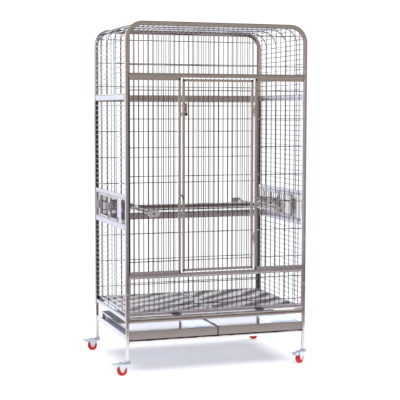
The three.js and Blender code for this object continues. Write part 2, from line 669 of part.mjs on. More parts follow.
function casterWheel() {
  const profile = [[4.4, -10], [21, -10], [WHEEL_RADIUS, -6], [WHEEL_RADIUS, 6], [21, 10], [4.4, 10],
    [4.4, -10]];
  const geometry = new THREE.LatheGeometry(profile.map(([r, w]) => new THREE.Vector2(r, w)), 24);
  return solid(geometry.translate(AXLE_X, 0, WHEEL_RADIUS));
}

// A channel: a flat tread with a side flange under each edge that deepens towards the wheel.
function brakePedal() {
  const edge = [-PEDAL_HALF, PEDAL_HALF];
  const tread = box([-PEDAL_REACH, PEDAL_PIN[0]], edge, [56, 58.6]);
  const flange = [[-PEDAL_REACH + 4, 57], [AXLE_X - 42, 49], [AXLE_X - 31, 41], [AXLE_X - 20, 46],
    [AXLE_X - 12, 54], [AXLE_X - 9, 57]];
  const pieces = [
    rod('y', 3.2, PEDAL_PIN, edge),
    tread,
    plate(flange, [-PEDAL_HALF, -PEDAL_HALF + 1.2]),
    plate(flange, [PEDAL_HALF - 1.2, PEDAL_HALF]),
  ];
  return cut(join(pieces), [rod('y', 2, PEDAL_PIN, [-13, 13])]);
}

function casters() {
  for (const [row, y] of [['front', -POST_Y], ['rear', POST_Y]]) {
    for (const [name, x] of [['left', -POST_X], ['right', POST_X]]) {
      const swivel = new THREE.Group();
      swivel.position.set(x, y, 0);
      swivel.rotation.z = row === 'front' && name === 'right' ? FRONT_RIGHT_TURN : 0;
      cage.add(swivel);
      add(`${row}_${name}_caster_fork`, casterFork(), 'zinc', swivel);
      add(`${row}_${name}_caster_wheel`, casterWheel(), 'red', swivel);
      add(`${row}_${name}_brake_pedal`, brakePedal(), 'zinc', swivel);
    }
  }
}

frontAndBack();
doorFittings();
sides();
roof();
perches();
floorParts();
casters();

export default cage;
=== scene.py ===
# %% [markdown]
# # A stainless parrot cage on casters
# The cage is a welded frame of 16 mm square tube with a rounded top. Wire walls fill the
# frame, a tall door hinges at the front, and small feeder doors swing out at the sides.
# The measured model comes in first and fixes every size, and this lesson dresses it with
# round wires, rounded tubes, welds, screws and polished metal.

# %% Load the measured model
import math
import bmesh
import bpy
from mathutils import Matrix, Vector


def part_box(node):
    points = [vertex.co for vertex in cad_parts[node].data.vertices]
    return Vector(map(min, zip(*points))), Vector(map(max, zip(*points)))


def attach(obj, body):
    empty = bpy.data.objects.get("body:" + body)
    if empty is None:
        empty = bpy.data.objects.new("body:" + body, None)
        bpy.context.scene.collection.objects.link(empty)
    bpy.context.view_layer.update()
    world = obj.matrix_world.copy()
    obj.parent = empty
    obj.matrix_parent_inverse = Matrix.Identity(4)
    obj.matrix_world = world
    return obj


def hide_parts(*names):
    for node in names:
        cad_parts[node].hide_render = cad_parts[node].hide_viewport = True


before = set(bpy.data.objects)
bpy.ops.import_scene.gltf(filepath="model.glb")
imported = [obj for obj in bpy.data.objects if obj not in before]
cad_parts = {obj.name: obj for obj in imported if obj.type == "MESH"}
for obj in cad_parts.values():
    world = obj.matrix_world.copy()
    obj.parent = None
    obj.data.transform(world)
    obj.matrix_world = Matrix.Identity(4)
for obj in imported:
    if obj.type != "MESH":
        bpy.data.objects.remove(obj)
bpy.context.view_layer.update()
scene = bpy.context.scene

# %% [markdown]
# All the lengths below are in millimetres from the middle of the cage, so the place of that
# middle is read from the frames once and added when a mesh is finished. Post centres,
# corner radius and rail levels are read or stated here, because every wall uses them. The
# outer layer of wires and the inner one touch, and a weld bead sits between the two.

# %% Main sizes
front_low, front_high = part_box("front_frame")
back_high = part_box("back_frame")[1]
MIDDLE = Vector(((front_low.x + front_high.x) / 2, (front_low.y + back_high.y) / 2, 0))
TUBE = 1000 * (front_high.y - front_low.y)
POST_X = 500 * (front_high.x - front_low.x) - TUBE / 2
POST_Y = 500 * (back_high.y - front_low.y) - TUBE / 2
LEG_END = 1000 * front_low.z
TOP_LINE = 1000 * front_high.z - TUBE / 2
CORNER = 80
BEND_LEVEL = TOP_LINE - CORNER
CLEAR_X = POST_X - TUBE / 2
CLEAR_Y = POST_Y - TUBE / 2
GAP = 0.4
SPAN_X = (-CLEAR_X + GAP, CLEAR_X - GAP)
SPAN_Y = (-CLEAR_Y + GAP, CLEAR_Y - GAP)
WIRE = 2.0
OUTER, INNER = 2.1, -1.9
WELD, WELD_OUT = 2.0, 0.1
PITCH, CROSS_PITCH = 24.94, 136.2
WIRES_ACROSS = 35
FRONT_RAILS = [(150, 169), (250, 272), (466, 482), (1420, 1435)]
BACK_RAILS = [(150, 169), (256, 275), (692, 717), (1314, 1339)]
print("posts at", round(POST_X, 1), round(POST_Y, 1), "tube", round(TUBE, 1))

# %% [markdown]
# The camera stands a little above the middle of the cage, to the left of its front, and looks
# slightly down. A long lens keeps the posts nearly parallel. Its axes are built from the
# three angles one after the other: turn, tip, and a slight lean.

# %% Camera
CAMERA_SPOT = (-1.82525, -5.44538, 1.25893)
CAMERA_TURN, CAMERA_TIP, CAMERA_LEAN = 0.3255, 0.0785, 0.0015
CAMERA_LENS = 101.23


def place_camera(spot, turn, tip, lean, lens):
    right = Vector((math.cos(turn), -math.sin(turn), 0))
    ahead = Vector((math.sin(turn), math.cos(turn), 0))
    up = Vector((0, 0, 1))
    view = ahead * math.cos(tip) - up * math.sin(tip)
    top = ahead * math.sin(tip) + up * math.cos(tip)
    side = right * math.cos(lean) + top * math.sin(lean)
    top = top * math.cos(lean) - right * math.sin(lean)
    camera = bpy.data.objects.new("camera", bpy.data.cameras.new("camera"))
    scene.collection.objects.link(camera)
    camera.data.lens = lens
    camera.data.sensor_width = 36
    camera.data.clip_end = 60
    turned = Matrix((side, top, -view)).transposed().to_4x4()
    camera.matrix_world = Matrix.Translation(MIDDLE + Vector(spot)) @ turned
    scene.camera = camera
    return camera


camera = place_camera(CAMERA_SPOT, CAMERA_TURN, CAMERA_TIP, CAMERA_LEAN, CAMERA_LENS)
print("camera at", [round(v, 3) for v in camera.location])

# %% [markdown]
# Polished steel has almost no colour of its own: it shows the room. A plain white studio
# would make every bar white, so the world seen in reflections is built from three ramps that
# multiply: front to back, floor to ceiling, and left to right. The camera itself sees plain
# white, and matt surfaces get a dimmer room, which leaves the shadow under the cage grey.

# %% World
def link(tree, source, target):
    tree.links.new(source, target)


def ramp_along(tree, source, stops):
    """A colour ramp over a direction's part that runs from -1 to 1."""
    spread = tree.nodes.new("ShaderNodeMapRange")
    spread.inputs["From Min"].default_value = -1
    ramp = tree.nodes.new("ShaderNodeValToRGB")
    while len(ramp.color_ramp.elements) < len(stops):
        ramp.color_ramp.elements.new(0.5)
    for element, (place, shade) in zip(ramp.color_ramp.elements, stops):
        element.position = place
        element.color = (*shade, 1)
    link(tree, source, spread.inputs["Value"])
    link(tree, spread.outputs["Result"], ramp.inputs["Fac"])
    return ramp.outputs["Color"]


FRONT_TO_BACK = [(0.0, (0.50, 0.465, 0.44)), (0.30, (0.50, 0.47, 0.455)), (0.46, (0.80, 0.84, 0.92)),
                 (1.0, (1.0, 1.02, 1.08))]
FLOOR_TO_CEILING = [(0.0, (0.80, 0.80, 0.84)), (0.40, (0.92, 0.90, 0.93)), (0.52, (1.0, 0.98, 0.97)),
                    (0.60, (1.25, 1.25, 1.28)), (0.74, (0.55, 0.54, 0.55)), (1.0, (0.42, 0.40, 0.40))]
LEFT_TO_RIGHT = [(0.0, (1.95, 2.02, 2.15)), (0.27, (1.65, 1.70, 1.82)), (0.40, (1.04, 1.06, 1.10)),
                 (0.6, (0.9, 0.88, 0.87)), (1.0, (1.0, 0.98, 0.97))]
MATT_STRENGTH = 0.30
SEEN_STRENGTH = 1.1


def multiplied(tree, first, second):
    node = tree.nodes.new("ShaderNodeVectorMath")
    node.operation = "MULTIPLY"
    link(tree, first, node.inputs[0])
    link(tree, second, node.inputs[1])
    return node.outputs[0]


def make_world():
    world = bpy.data.worlds.new("studio")
    world.use_nodes = True
    scene.world = world
    tree = world.node_tree
    tree.nodes.clear()
    spot = tree.nodes.new("ShaderNodeTexCoord")
    split = tree.nodes.new("ShaderNodeSeparateXYZ")
    link(tree, spot.outputs["Generated"], split.inputs["Vector"])
    room = ramp_along(tree, split.outputs["Y"], FRONT_TO_BACK)
    room = multiplied(tree, room, ramp_along(tree, split.outputs["Z"], FLOOR_TO_CEILING))
    room = multiplied(tree, room, ramp_along(tree, split.outputs["X"], LEFT_TO_RIGHT))
    reflected = tree.nodes.new("ShaderNodeBackground")
    seen = tree.nodes.new("ShaderNodeBackground")
    seen.inputs["Color"].default_value = (1, 1, 1, 1)
    seen.inputs["Strength"].default_value = SEEN_STRENGTH
    path = tree.nodes.new("ShaderNodeLightPath")
    dimmed = tree.nodes.new("ShaderNodeMapRange")
    dimmed.inputs["To Min"].default_value = 1.0
    dimmed.inputs["To Max"].default_value = MATT_STRENGTH
    link(tree, path.outputs["Is Diffuse Ray"], dimmed.inputs["Value"])
    link(tree, dimmed.outputs["Result"], reflected.inputs["Strength"])
    mix = tree.nodes.new("ShaderNodeMixShader")
    out = tree.nodes.new("ShaderNodeOutputWorld")
    link(tree, room, reflected.inputs["Color"])
    link(tree, path.outputs["Is Camera Ray"], mix.inputs["Fac"])
    link(tree, reflected.outputs["Background"], mix.inputs[1])
    link(tree, seen.outputs["Background"], mix.inputs[2])
    link(tree, mix.outputs["Shader"], out.inputs["Surface"])


make_world()

# %% [markdown]
# The floor is a seamless white sheet under a big soft light. The light is hidden from
# reflections, because the room above already stands for it. The sheet glows a little by
# itself, so that only the shadow under the cage stays below white and its edges vanish.

# %% Floor and lights
FLOOR = (-1.6, -1.15, 1.7, 1.7)
FLOOR_WHITE = (0.86, 0.86, 0.88, 1)
FLOOR_ROUGHNESS = 0.9
GLOW_WHITE = (0.97, 0.97, 1.0, 1)
FLOOR_GLOW = 0.27
LAMP_PLACE, LAMP_AIM = (0.0, -0.6, 4.4), (0, 0, 0)
LAMP_SIZE, LAMP_WATTS = 7.5, 520


def soft_light(name, place, aim, size, watts):
    data = bpy.data.lights.new(name, "AREA")
    data.shape = "SQUARE"
    data.size = size
    data.energy = watts
    lamp = bpy.data.objects.new(name, data)
    scene.collection.objects.link(lamp)
    lamp.location = place
    lamp.visible_glossy = False
    lamp.rotation_euler = (Vector(aim) - Vector(place)).to_track_quat("-Z", "Y").to_euler()


def make_floor():
    left, front, right, back = FLOOR
    mesh = bpy.data.meshes.new("floor")
    corners = [(left, front, 0), (right, front, 0), (right, back, 0), (left, back, 0)]
    mesh.from_pydata(corners, [], [(0, 1, 2, 3)])
    floor = bpy.data.objects.new("floor", mesh)
    scene.collection.objects.link(floor)
    paint = bpy.data.materials.new("white floor")
    paint.use_nodes = True
    shader = paint.node_tree.nodes["Principled BSDF"]
    shader.inputs["Base Color"].default_value = FLOOR_WHITE
    shader.inputs["Roughness"].default_value = FLOOR_ROUGHNESS
    shader.inputs["Emission Color"].default_value = GLOW_WHITE
    shader.inputs["Emission Strength"].default_value = FLOOR_GLOW
    mesh.materials.append(paint)


make_floor()
soft_light("overhead softbox", LAMP_PLACE, LAMP_AIM, LAMP_SIZE, LAMP_WATTS)
scene.view_settings.view_transform = "Standard"

# %% [markdown]
# Each finish is written as a sum, the way a maker would say it: this colour, plus a little
# blotching, minus some wear. One small class wraps a node's output so that plus, minus and
# times add the matching node, and one method adds any other node.

# %% Writing finishes as sums
class Term:
    """A node's output in a sum; every operation on it adds one Math node."""

    def __init__(self, finish, socket):
        self.finish = finish
        self.socket = socket

    def maths(self, operation, first, second):
        return self.finish.node("ShaderNodeMath", {"operation": operation}, first, second)

    def __add__(self, other):
        return self.maths("ADD", self, other)

    def __sub__(self, other):
        return self.maths("SUBTRACT", self, other)

    def __mul__(self, other):
        return self.maths("MULTIPLY", self, other)

    __radd__ = __add__


MIX_FIRST, MIX_SECOND, MIX_RESULT = 6, 7, 2


class Finish:
    """A material whose constants sit on the shader and whose links come from sums."""

    def __init__(self, name, **constants):
        self.material = bpy.data.materials.new(name)
        self.material.use_nodes = True
        self.tree = self.material.node_tree
        self.shader = self.tree.nodes["Principled BSDF"]
        for socket, value in constants.items():
            self.shader.inputs[socket.replace("_", " ")].default_value = value

    def node(self, kind, settings, *values, out=0, **named):
        node = self.tree.nodes.new(kind)
        for key, value in settings.items():
            if key == "stops":
                self.set_stops(node.color_ramp, value)
            else:
                setattr(node, key, value)
        entries = list(enumerate(values)) + [(k.replace("_", " "), v) for k, v in named.items()]
        for key, value in entries:
            self.feed(node.inputs[key], value)
        return Term(self, node.outputs[out])

    def set_stops(self, ramp, stops):
        while len(ramp.elements) < len(stops):
            ramp.elements.new(0.5)
        for element, (place, colour) in zip(ramp.elements, stops):
            element.position = place
            element.color = (*colour, 1)

    def feed(self, socket, value):
        if isinstance(value, Term):
            self.tree.links.new(value.socket, socket)
        else:
            socket.default_value = value

    def drive(self, socket, value):
        self.feed(self.shader.inputs[socket], value)

    def place(self):
        return self.node("ShaderNodeTexCoord", {}, out="Object")

    def stretched(self, x, y, z):
        settings = {"operation": "MULTIPLY"}
        return self.node("ShaderNodeVectorMath", settings, self.place(), (x, y, z))

    def noise(self, scale, where=None, detail=3.0):
        where = where or self.place()
        return self.node("ShaderNodeTexNoise", {}, Vector=where, Scale=scale, Detail=detail)

    def blend(self, factor, first, second):
        node = self.tree.nodes.new("ShaderNodeMix")
        node.data_type = "RGBA"
        self.feed(node.inputs["Factor"], factor)
        self.feed(node.inputs[MIX_FIRST], (*first, 1))
        self.feed(node.inputs[MIX_SECOND], (*second, 1))
        return Term(self, node.outputs[MIX_RESULT])

    def bumps(self, height, strength, depth):
        bump = self.node("ShaderNodeBump", {}, Strength=strength, Distance=depth, Height=height)
        self.drive("Normal", bump)


# %% [markdown]
# The posts and rails are stainless tube with a linear polish. Up high they look warm and
# brownish, down low a little violet, because of what stands around them, so the colour
# drifts with height as a painted reflection. Fine upright grain and greasy blotches vary the gloss.

# %% Steel finishes
# WARM and COOL are the painted reflection tones, high and low.
WARM, COOL = (0.60, 0.545, 0.50), (0.57, 0.54, 0.585)
BLOTCH_SCALE, WIRE_GRAIN = 9.0, 300.0
GRAIN_BUMP, GRAIN_DEPTH, FINE_DEPTH = 0.35, 0.00004, 0.00003


def gloss(finish, tone, roughness, patches, grains, blotch, depth):
    """Multiply a tone by blotches and grain, and vary the gloss with them."""
    shade = (1 - blotch) + patches * (2 * blotch) - grains * (blotch * 0.6)
    scaled = finish.node("ShaderNodeVectorMath", {"operation": "SCALE"}, tone, Scale=shade)
    finish.drive("Base Color", scaled)
    finish.drive("Roughness", (roughness - 0.04) + patches * 0.08 + grains * 0.06)
    finish.bumps(grains, GRAIN_BUMP, depth)
    return finish.material


def steel(name, warm, cool, roughness, grain=220.0, blotch=0.07, levels=(0.25, 1.35)):
    """Polished steel whose tone drifts from cool to warm between two levels: a painted reflection."""
    finish = Finish(name, Metallic=1.0)
    height = finish.node("ShaderNodeSeparateXYZ", {}, finish.place(), out="Z")
    drift = finish.node("ShaderNodeMapRange", {}, height, *levels, 0.0, 1.0)
    patches = finish.noise(BLOTCH_SCALE)
    grains = finish.noise(grain, finish.stretched(1.0, 1.0, 0.05), 2.0)
    tone = finish.blend(drift, cool, warm)
    return gloss(finish, tone, roughness, patches, grains, blotch, GRAIN_DEPTH)


tube_steel = steel("polished tube", WARM, COOL, 0.20)
rail_steel = steel("side rail", (0.60, 0.59, 0.61), (0.54, 0.54, 0.58), 0.24)
tray_steel = steel("mirror tray sheet", (0.72, 0.75, 0.81), (0.72, 0.75, 0.81), 0.07, 60.0, 0.03)
front_sheet = steel("tray front sheet", (0.36, 0.32, 0.305), (0.36, 0.32, 0.305), 0.20, 90.0, 0.06)
guard_sheet = steel("guard sheet", (0.62, 0.60, 0.60), (0.60, 0.58, 0.62), 0.18, 90.0, 0.06)
plate_steel = steel("clamp plates", (0.78, 0.76, 0.82), (0.78, 0.76, 0.82), 0.30, 160.0)
bowl_steel = steel("bowl steel", (0.56, 0.54, 0.52), (0.52, 0.50, 0.49), 0.12, 140.0, 0.06)
dark_steel = steel("dark fittings", (0.12, 0.11, 0.10), (0.12, 0.11, 0.11), 0.30, 150.0)
bright_steel = steel("screw heads", (0.62, 0.61, 0.60), (0.62, 0.61, 0.63), 0.18, 400.0, 0.04)
weld_steel = steel("weld beads", (0.20, 0.17, 0.16), (0.14, 0.12, 0.12), 0.40, 500.0, 0.15)

# %% [markdown]
# The wire colours are painted reflections and painted shade, after what each set of them
# faces. The front uprights stand against the light and are painted nearly black below the
# header, the back wall is painted lighter, the side uprights are painted dark, and the wires
# that run from front to back carry a painted sky reflection along their length and almost
# vanish. Cross wires and roof wires carry painted reflections, dark in some stretches and
# bright in others.

# %% Wire colours with painted reflection and shade
front_wire = steel("front uprights", (0.36, 0.31, 0.30), (0.05, 0.043, 0.046), 0.22, WIRE_GRAIN,
                   levels=(1.28, 1.46))
back_wire = steel("back uprights", (0.30, 0.27, 0.26), (0.24, 0.21, 0.21), 0.25, WIRE_GRAIN)
side_upright = steel("side uprights", (0.11, 0.095, 0.095), (0.07, 0.06, 0.063), 0.25, WIRE_GRAIN)
# The right stile is painted bright silver-blue: a painted reflection.
stile_steel = steel("right stile", (0.86, 0.88, 0.96), (0.86, 0.88, 0.96), 0.22)
side_wire = steel("front-to-back wires", (0.66, 0.64, 0.66), (0.72, 0.70, 0.73), 0.20, WIRE_GRAIN)


def painted_reflection_wire(name, dark, light, scale, stretch, edges=(0.42, 0.60)):
    """Wire with painted reflections, dark in stretches and bright in others along its length."""
    finish = Finish(name, Metallic=1.0)
    patches = finish.noise(scale, finish.stretched(*stretch), 1.0)
    grains = finish.noise(WIRE_GRAIN, None, 2.0)
    mask = finish.node("ShaderNodeMapRange", {}, patches, *edges, 0.0, 1.0)
    return gloss(finish, finish.blend(mask, dark, light), 0.22, patches, grains, 0.06, FINE_DEPTH)


cross_wire = painted_reflection_wire("cross wires", (0.045, 0.04, 0.04), (0.66, 0.62, 0.61), 5.0, (1.0, 1.0, 1.6))
roof_wire = painted_reflection_wire("roof wires", (0.14, 0.13, 0.14), (0.90, 0.92, 1.0), 14.0, (1.0, 1.0, 1.0),
                         edges=(0.32, 0.64))

# %% [markdown]
# A polished bar mirrors the room in bands, one above the other, and here these bands are
# painted reflections in the colour. The perch has a painted bright line high on its front and
# a painted dark belly, the two hoops carry painted reflections that change with height, and the
# rails beside the trays and the grates have a painted dark and a painted bright edge. The grates
# are bright rods with slanting painted dark bands of reflection over the whole floor.

# %% Painted reflection bands
def banded(name, stops, middle, reach, roughness, waves=7.0, swing=0.004):
    """A polished bar whose tone is banded by height: painted reflections of the room."""
    finish = Finish(name, Metallic=1.0)
    height = finish.node("ShaderNodeSeparateXYZ", {}, finish.place(), out="Z")
    patches = finish.noise(waves)
    across = finish.node("ShaderNodeMapRange", {}, height + (patches - 0.5) * swing,
                         middle - reach, middle + reach, 0.0, 1.0)
    tone = finish.node("ShaderNodeValToRGB", {"stops": stops}, across)
    grains = finish.noise(260.0, finish.stretched(0.1, 1.0, 1.0), 2.0)
    return gloss(finish, tone, roughness, patches, grains, 0.08, FINE_DEPTH)


# Painted reflection on the perch: a painted bright line and painted dark bands.
PERCH_BANDS = [(0.0, (0.14, 0.12, 0.11)), (0.16, (0.36, 0.32, 0.30)), (0.28, (1.0, 0.98, 0.96)),
               (0.40, (0.40, 0.36, 0.33)), (0.55, (0.60, 0.55, 0.51)), (0.76, (0.36, 0.32, 0.30)),
               (0.86, (0.16, 0.14, 0.13)), (0.95, (0.50, 0.47, 0.45)), (1.0, (0.50, 0.47, 0.45))]
perch_steel = banded("perch painted reflection", PERCH_BANDS, 0.7725, 0.0135, 0.16)

# Painted reflections on the hoops: a lighter band low on the legs, tones that change with height, and on
# the back hoop a painted black line and painted sky white at the top.
LEG = [(0.0, (0.70, 0.67, 0.67)), (0.10, (0.68, 0.65, 0.65)), (0.12, (0.46, 0.39, 0.38)),
       (0.26, (0.40, 0.34, 0.34))]
BLACK_LINE, SKY_WHITE = (0.05, 0.045, 0.045), (0.92, 0.94, 1.0)
FRONT_HOOP = LEG + [(0.34, (0.52, 0.48, 0.51)), (0.50, COOL), (0.85, WARM), (1.0, WARM)]
BACK_HOOP = LEG + [(0.50, (0.34, 0.30, 0.30)), (0.72, (0.36, 0.32, 0.31)), (0.80, WARM),
                   (0.962, WARM), (0.976, BLACK_LINE), (0.9795, BLACK_LINE), (0.982, SKY_WHITE),
                   (1.0, SKY_WHITE)]
HALF_HEIGHT = 0.85
hoop_steel = {
    "front_frame": banded("front hoop", FRONT_HOOP, HALF_HEIGHT, HALF_HEIGHT, 0.20, 9.0, 0.02),
    "back_frame": banded("back hoop", BACK_HOOP, HALF_HEIGHT, HALF_HEIGHT, 0.20, 40.0, 0.004),
}
# Painted reflection and shade on the tray-level rail: a bright lower part, a black upper edge.
TRAY_RAIL = [(0.0, (0.76, 0.73, 0.73)), (0.62, (0.76, 0.73, 0.73)), (0.74, BLACK_LINE),
             (1.0, (0.07, 0.06, 0.06))]
tray_rail_steel = banded("tray level rail", TRAY_RAIL, 0.1595, 0.0095, 0.20, 19.0, 0.016)
# Painted highlight on the grate-level rail: a dark rail with a bright top edge.
GRATE_RAIL = [(0.0, (0.30, 0.25, 0.235)), (0.68, (0.28, 0.235, 0.22)), (0.80, (0.97, 0.95, 0.95)),
              (1.0, (0.97, 0.95, 0.95))]
grate_rail_steel = banded("grate level rail", GRATE_RAIL, 0.261, 0.011, 0.18, 7.0, 0.006)


BAND_SLANT = math.radians(-38)


def grate_finish():
    """Bright rods crossed by slanting painted dark bands of reflection."""
    finish = Finish("grate rods", Metallic=1.0)
    turned = finish.node("ShaderNodeMapping", {}, finish.place(), Rotation=(0, 0, BAND_SLANT))
    bands = finish.node("ShaderNodeTexWave", {"bands_direction": "Y"}, Vector=turned, Scale=3.2,
                        Distortion=5.0, Detail=1.5, Detail_Scale=0.9)
    patches = finish.noise(12.0)
    grains = finish.noise(200.0, None, 2.0)
    mask = finish.node("ShaderNodeMapRange", {}, bands + (patches - 0.5) * 0.7, 0.28, 0.72, 0.0, 1.0)
    tone = finish.blend(mask, (0.20, 0.17, 0.155), (0.95, 0.92, 0.90))
    return gloss(finish, tone, 0.24, patches, grains, 0.08, GRAIN_DEPTH)


grate_steel = grate_finish()

# %% [markdown]
# The casters are pressed from zinc-plated sheet, which is blue-grey with a faint spangle, and
# their wheels are red moulded plastic, dulled and scuffed where they roll.

# %% Zinc and red plastic
def zinc():
    finish = Finish("zinc plate", Metallic=0.95)
    spangle = finish.node("ShaderNodeTexVoronoi", {}, Vector=finish.place(), Scale=160.0)
    dust = finish.noise(60.0)
    tone = finish.blend(dust, (0.50, 0.58, 0.64), (0.78, 0.84, 0.88))
    finish.drive("Base Color", tone)
    finish.drive("Roughness", 0.16 + spangle * 0.3 + dust * 0.1)
    finish.bumps(spangle, 0.2, 0.00005)
    return finish.material


def red_plastic():
    finish = Finish("red wheel plastic", Coat_Roughness=0.4)
    wear = finish.noise(140.0, detail=5.0)
    scuffs = finish.node("ShaderNodeValToRGB", {"stops": [(0.52, (0, 0, 0)), (0.72, (1, 1, 1))]}, wear)
    tone = finish.blend(scuffs, (0.66, 0.014, 0.016), (0.46, 0.06, 0.05))
    finish.drive("Base Color", tone)
    finish.drive("Roughness", 0.42 + wear * 0.2)
    finish.bumps(wear, 0.25, 0.0001)
    return finish.material


zinc_plate = zinc()
red_wheel = red_plastic()
print("finishes", len(bpy.data.materials))

# %% [markdown]
# A wire or a tube is an outline carried along a path, and a knob or wheel is a profile turned
# about an axis. One collector class makes these closed forms ring by ring and gathers
# them into one mesh, which is much lighter than one object for each of 400 wires.

# %% Collecting metalwork into a mesh
def circle(radius, sides):
    turns = [2 * math.pi * i / sides for i in range(sides)]
    return [(radius * math.cos(a), radius * math.sin(a)) for a in turns]


def rounded(width, height, corner, steps=3):
    points = []
    for i, (sx, sy) in enumerate(((1, 1), (-1, 1), (-1, -1), (1, -1))):
        for j in range(steps + 1):
            angle = math.pi / 2 * (i + j / steps)
            points.append((sx * (width / 2 - corner) + corner * math.cos(angle),
                           sy * (height / 2 - corner) + corner * math.sin(angle)))
    return points


BEVEL_ANGLE = math.radians(40)


class Metalwork:
    """Closed forms in millimetres from the cage's middle, gathered into one piece."""

    def __init__(self):
        self.points = []
        self.faces = []

    def skin(self, rings, looped=False, start=None, end=None):
        first = len(self.points)
        count = len(rings[0])
        for ring in rings:
            self.points.extend(ring)
        for i in range(len(rings) if looped else len(rings) - 1):
            low = first + i * count
            high = first + (i + 1) % len(rings) * count
            for j in range(count):
                k = (j + 1) % count
                self.faces.append((low + j, low + k, high + k, high + j))
        if not looped:
            last = first + (len(rings) - 1) * count
            self.close(range(first, first + count), start)
            self.close(range(last, last + count), end)

    def close(self, ring, tip):
        ring = list(ring)
        if tip is None:
            self.faces.append(tuple(ring))
            return
        self.points.append(tip)
        for j, a in enumerate(ring):
            self.faces.append((a, ring[(j + 1) % len(ring)], len(self.points) - 1))

    def sweep(self, path, outline, across, looped=False):
        path = [Vector(p) for p in path]
        across = Vector(across)
        rings = []
        for i, spot in enumerate(path):
            behind = path[i - 1] if looped or i else spot
            ahead = path[(i + 1) % len(path)] if looped or i < len(path) - 1 else spot
            outwards = (ahead - behind).normalized().cross(across).normalized()
            rings.append([spot + across * u + outwards * v for u, v in outline])
        self.skin(rings, looped)

    def plate(self, outline, near, far):
        """A flat plate cut to an outline of x and z, from one y to another."""
        self.skin([[Vector((x, y, z)) for x, z in outline] for y in (near, far)])

    def wire(self, start, end, radius=WIRE, sides=8):
        along = Vector(end) - Vector(start)
        across = along.orthogonal().normalized()
        self.sweep([start, end], circle(radius, sides), across)

    def turned(self, centre, axis, profile, sides=16, looped=False):
        centre, axis = Vector(centre), Vector(axis).normalized()
        u = axis.orthogonal().normalized()
        v = axis.cross(u)
        ends = [None, None]
        middle = list(profile)
        if not looped and middle[0][0] == 0:
            ends[0] = centre + axis * middle.pop(0)[1]
        if not looped and middle[-1][0] == 0:
            ends[1] = centre + axis * middle.pop()[1]
        rings = []
        for radius, height in middle:
            rings.append([centre + axis * height + u * a + v * b for a, b in circle(radius, sides)])
        self.skin(rings, looped, *ends)

    def bead(self, spot, radius, sides=6):
        h = radius * 0.55
        profile = [(0, -radius), (radius * 0.8, -h), (radius * 0.8, h), (0, radius)]
        self.turned(spot, (0, 0, 1), profile, sides)

    def piece(self, name, body, material, *nodes, slot="wire", bevel=0.0, smooth=35):
        mesh = bpy.data.meshes.new(name)
        mesh.from_pydata([Vector(p) / 1000 + MIDDLE for p in self.points], [], self.faces)
        shape = bmesh.new()
        shape.from_mesh(mesh)
        bmesh.ops.recalc_face_normals(shape, faces=shape.faces)
        for face in shape.faces:
            face.smooth = True
        shape.to_mesh(mesh)
        shape.free()
        mesh.set_sharp_from_angle(angle=math.radians(smooth))
        mesh.materials.append(material)
        made = bpy.data.objects.new(name, mesh)
        scene.collection.objects.link(made)
        if bevel:
            edge = made.modifiers.new("softened edges", "BEVEL")
            edge.width = bevel / 1000
            edge.segments = 2
            edge.limit_method = "ANGLE"
            edge.angle_limit = BEVEL_ANGLE
            edge.harden_normals = True
        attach(made, body)
        if nodes:
            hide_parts(*nodes)
        return made


# %% [markdown]
# Every wall is described in the same three numbers: how far along it, how far out of its
# mid-plane, and how high. One function per wall turns those into a place, so one recipe
# serves the front, the back and both sides.

# %% Places on the four walls
WALLS = {
    "front": lambda u, n, v: Vector((u, -POST_Y - n, v)),
    "back": lambda u, n, v: Vector((u, POST_Y + n, v)),
    "left": lambda u, n, v: Vector((-POST_X - n, u, v)),
    "right": lambda u, n, v: Vector((POST_X + n, u, v)),
}


def evenly(low, high, count):
    return [low + (i + 1) * (high - low) / (count + 1) for i in range(count)]


def centred(middle, pitch, count):
    return [middle + (i - (count - 1) / 2) * pitch for i in range(count)]


def outwards(wall):
    return wall(0, 1, 0) - wall(0, 0, 0)


def lying_bar(work, wall, u, n, v, corner=1.5):
    """A bar along the wall, with rounded long edges."""
    depth, height = n[1] - n[0], v[1] - v[0]
    middle = ((n[0] + n[1]) / 2, (v[0] + v[1]) / 2)
    path = [wall(u[0], *middle), wall(u[1], *middle)]
    work.sweep(path, rounded(depth, height, corner), outwards(wall))


def standing_bar(work, wall, u, n, v, corner=1.5):
    depth, width = n[1] - n[0], u[1] - u[0]
    spot = ((u[0] + u[1]) / 2, (n[0] + n[1]) / 2)
    work.sweep([wall(*spot, v[0]), wall(*spot, v[1])], rounded(depth, width, corner), outwards(wall))


def lying_edges(work, wall, u, n, v, widths, corner=1.5):
    """The bottom bar and the top bar of a panel, a little inside its ends."""
    for span in ((v[0], v[0] + widths[0]), (v[1] - widths[1], v[1])):
        lying_bar(work, wall, (u[0] + 1, u[1] - 1), n, span, corner)


def block(work, wall, u, n, v):
    """A square-edged block; the bevel on its piece softens it."""
    corners = [(u[0], n[0]), (u[1], n[0]), (u[1], n[1]), (u[0], n[1])]
    work.skin([[wall(a, b, level) for a, b in corners] for level in v])


def wire_grid(uprights, ties, welds, wall, standing, lying, u, v):
    """Round wires both ways, touching, with a weld bead at every crossing."""
    for place in standing:
        uprights.wire(wall(place, OUTER, v[0]), wall(place, OUTER, v[1]))
    for level in lying:
        ties.wire(wall(u[0], INNER, level), wall(u[1], INNER, level))
        for place in standing:
            welds.bead(wall(place, WELD_OUT, level), WELD)


# %% [markdown]
# The front and back frames are each one long tube, bent twice over an 80 mm radius, with
# rails butted between its legs and welded all round. A thin seam runs round each butt. The
# two lowest rails, beside the trays and the grates, carry their own bands of painted
# reflection and painted shade.

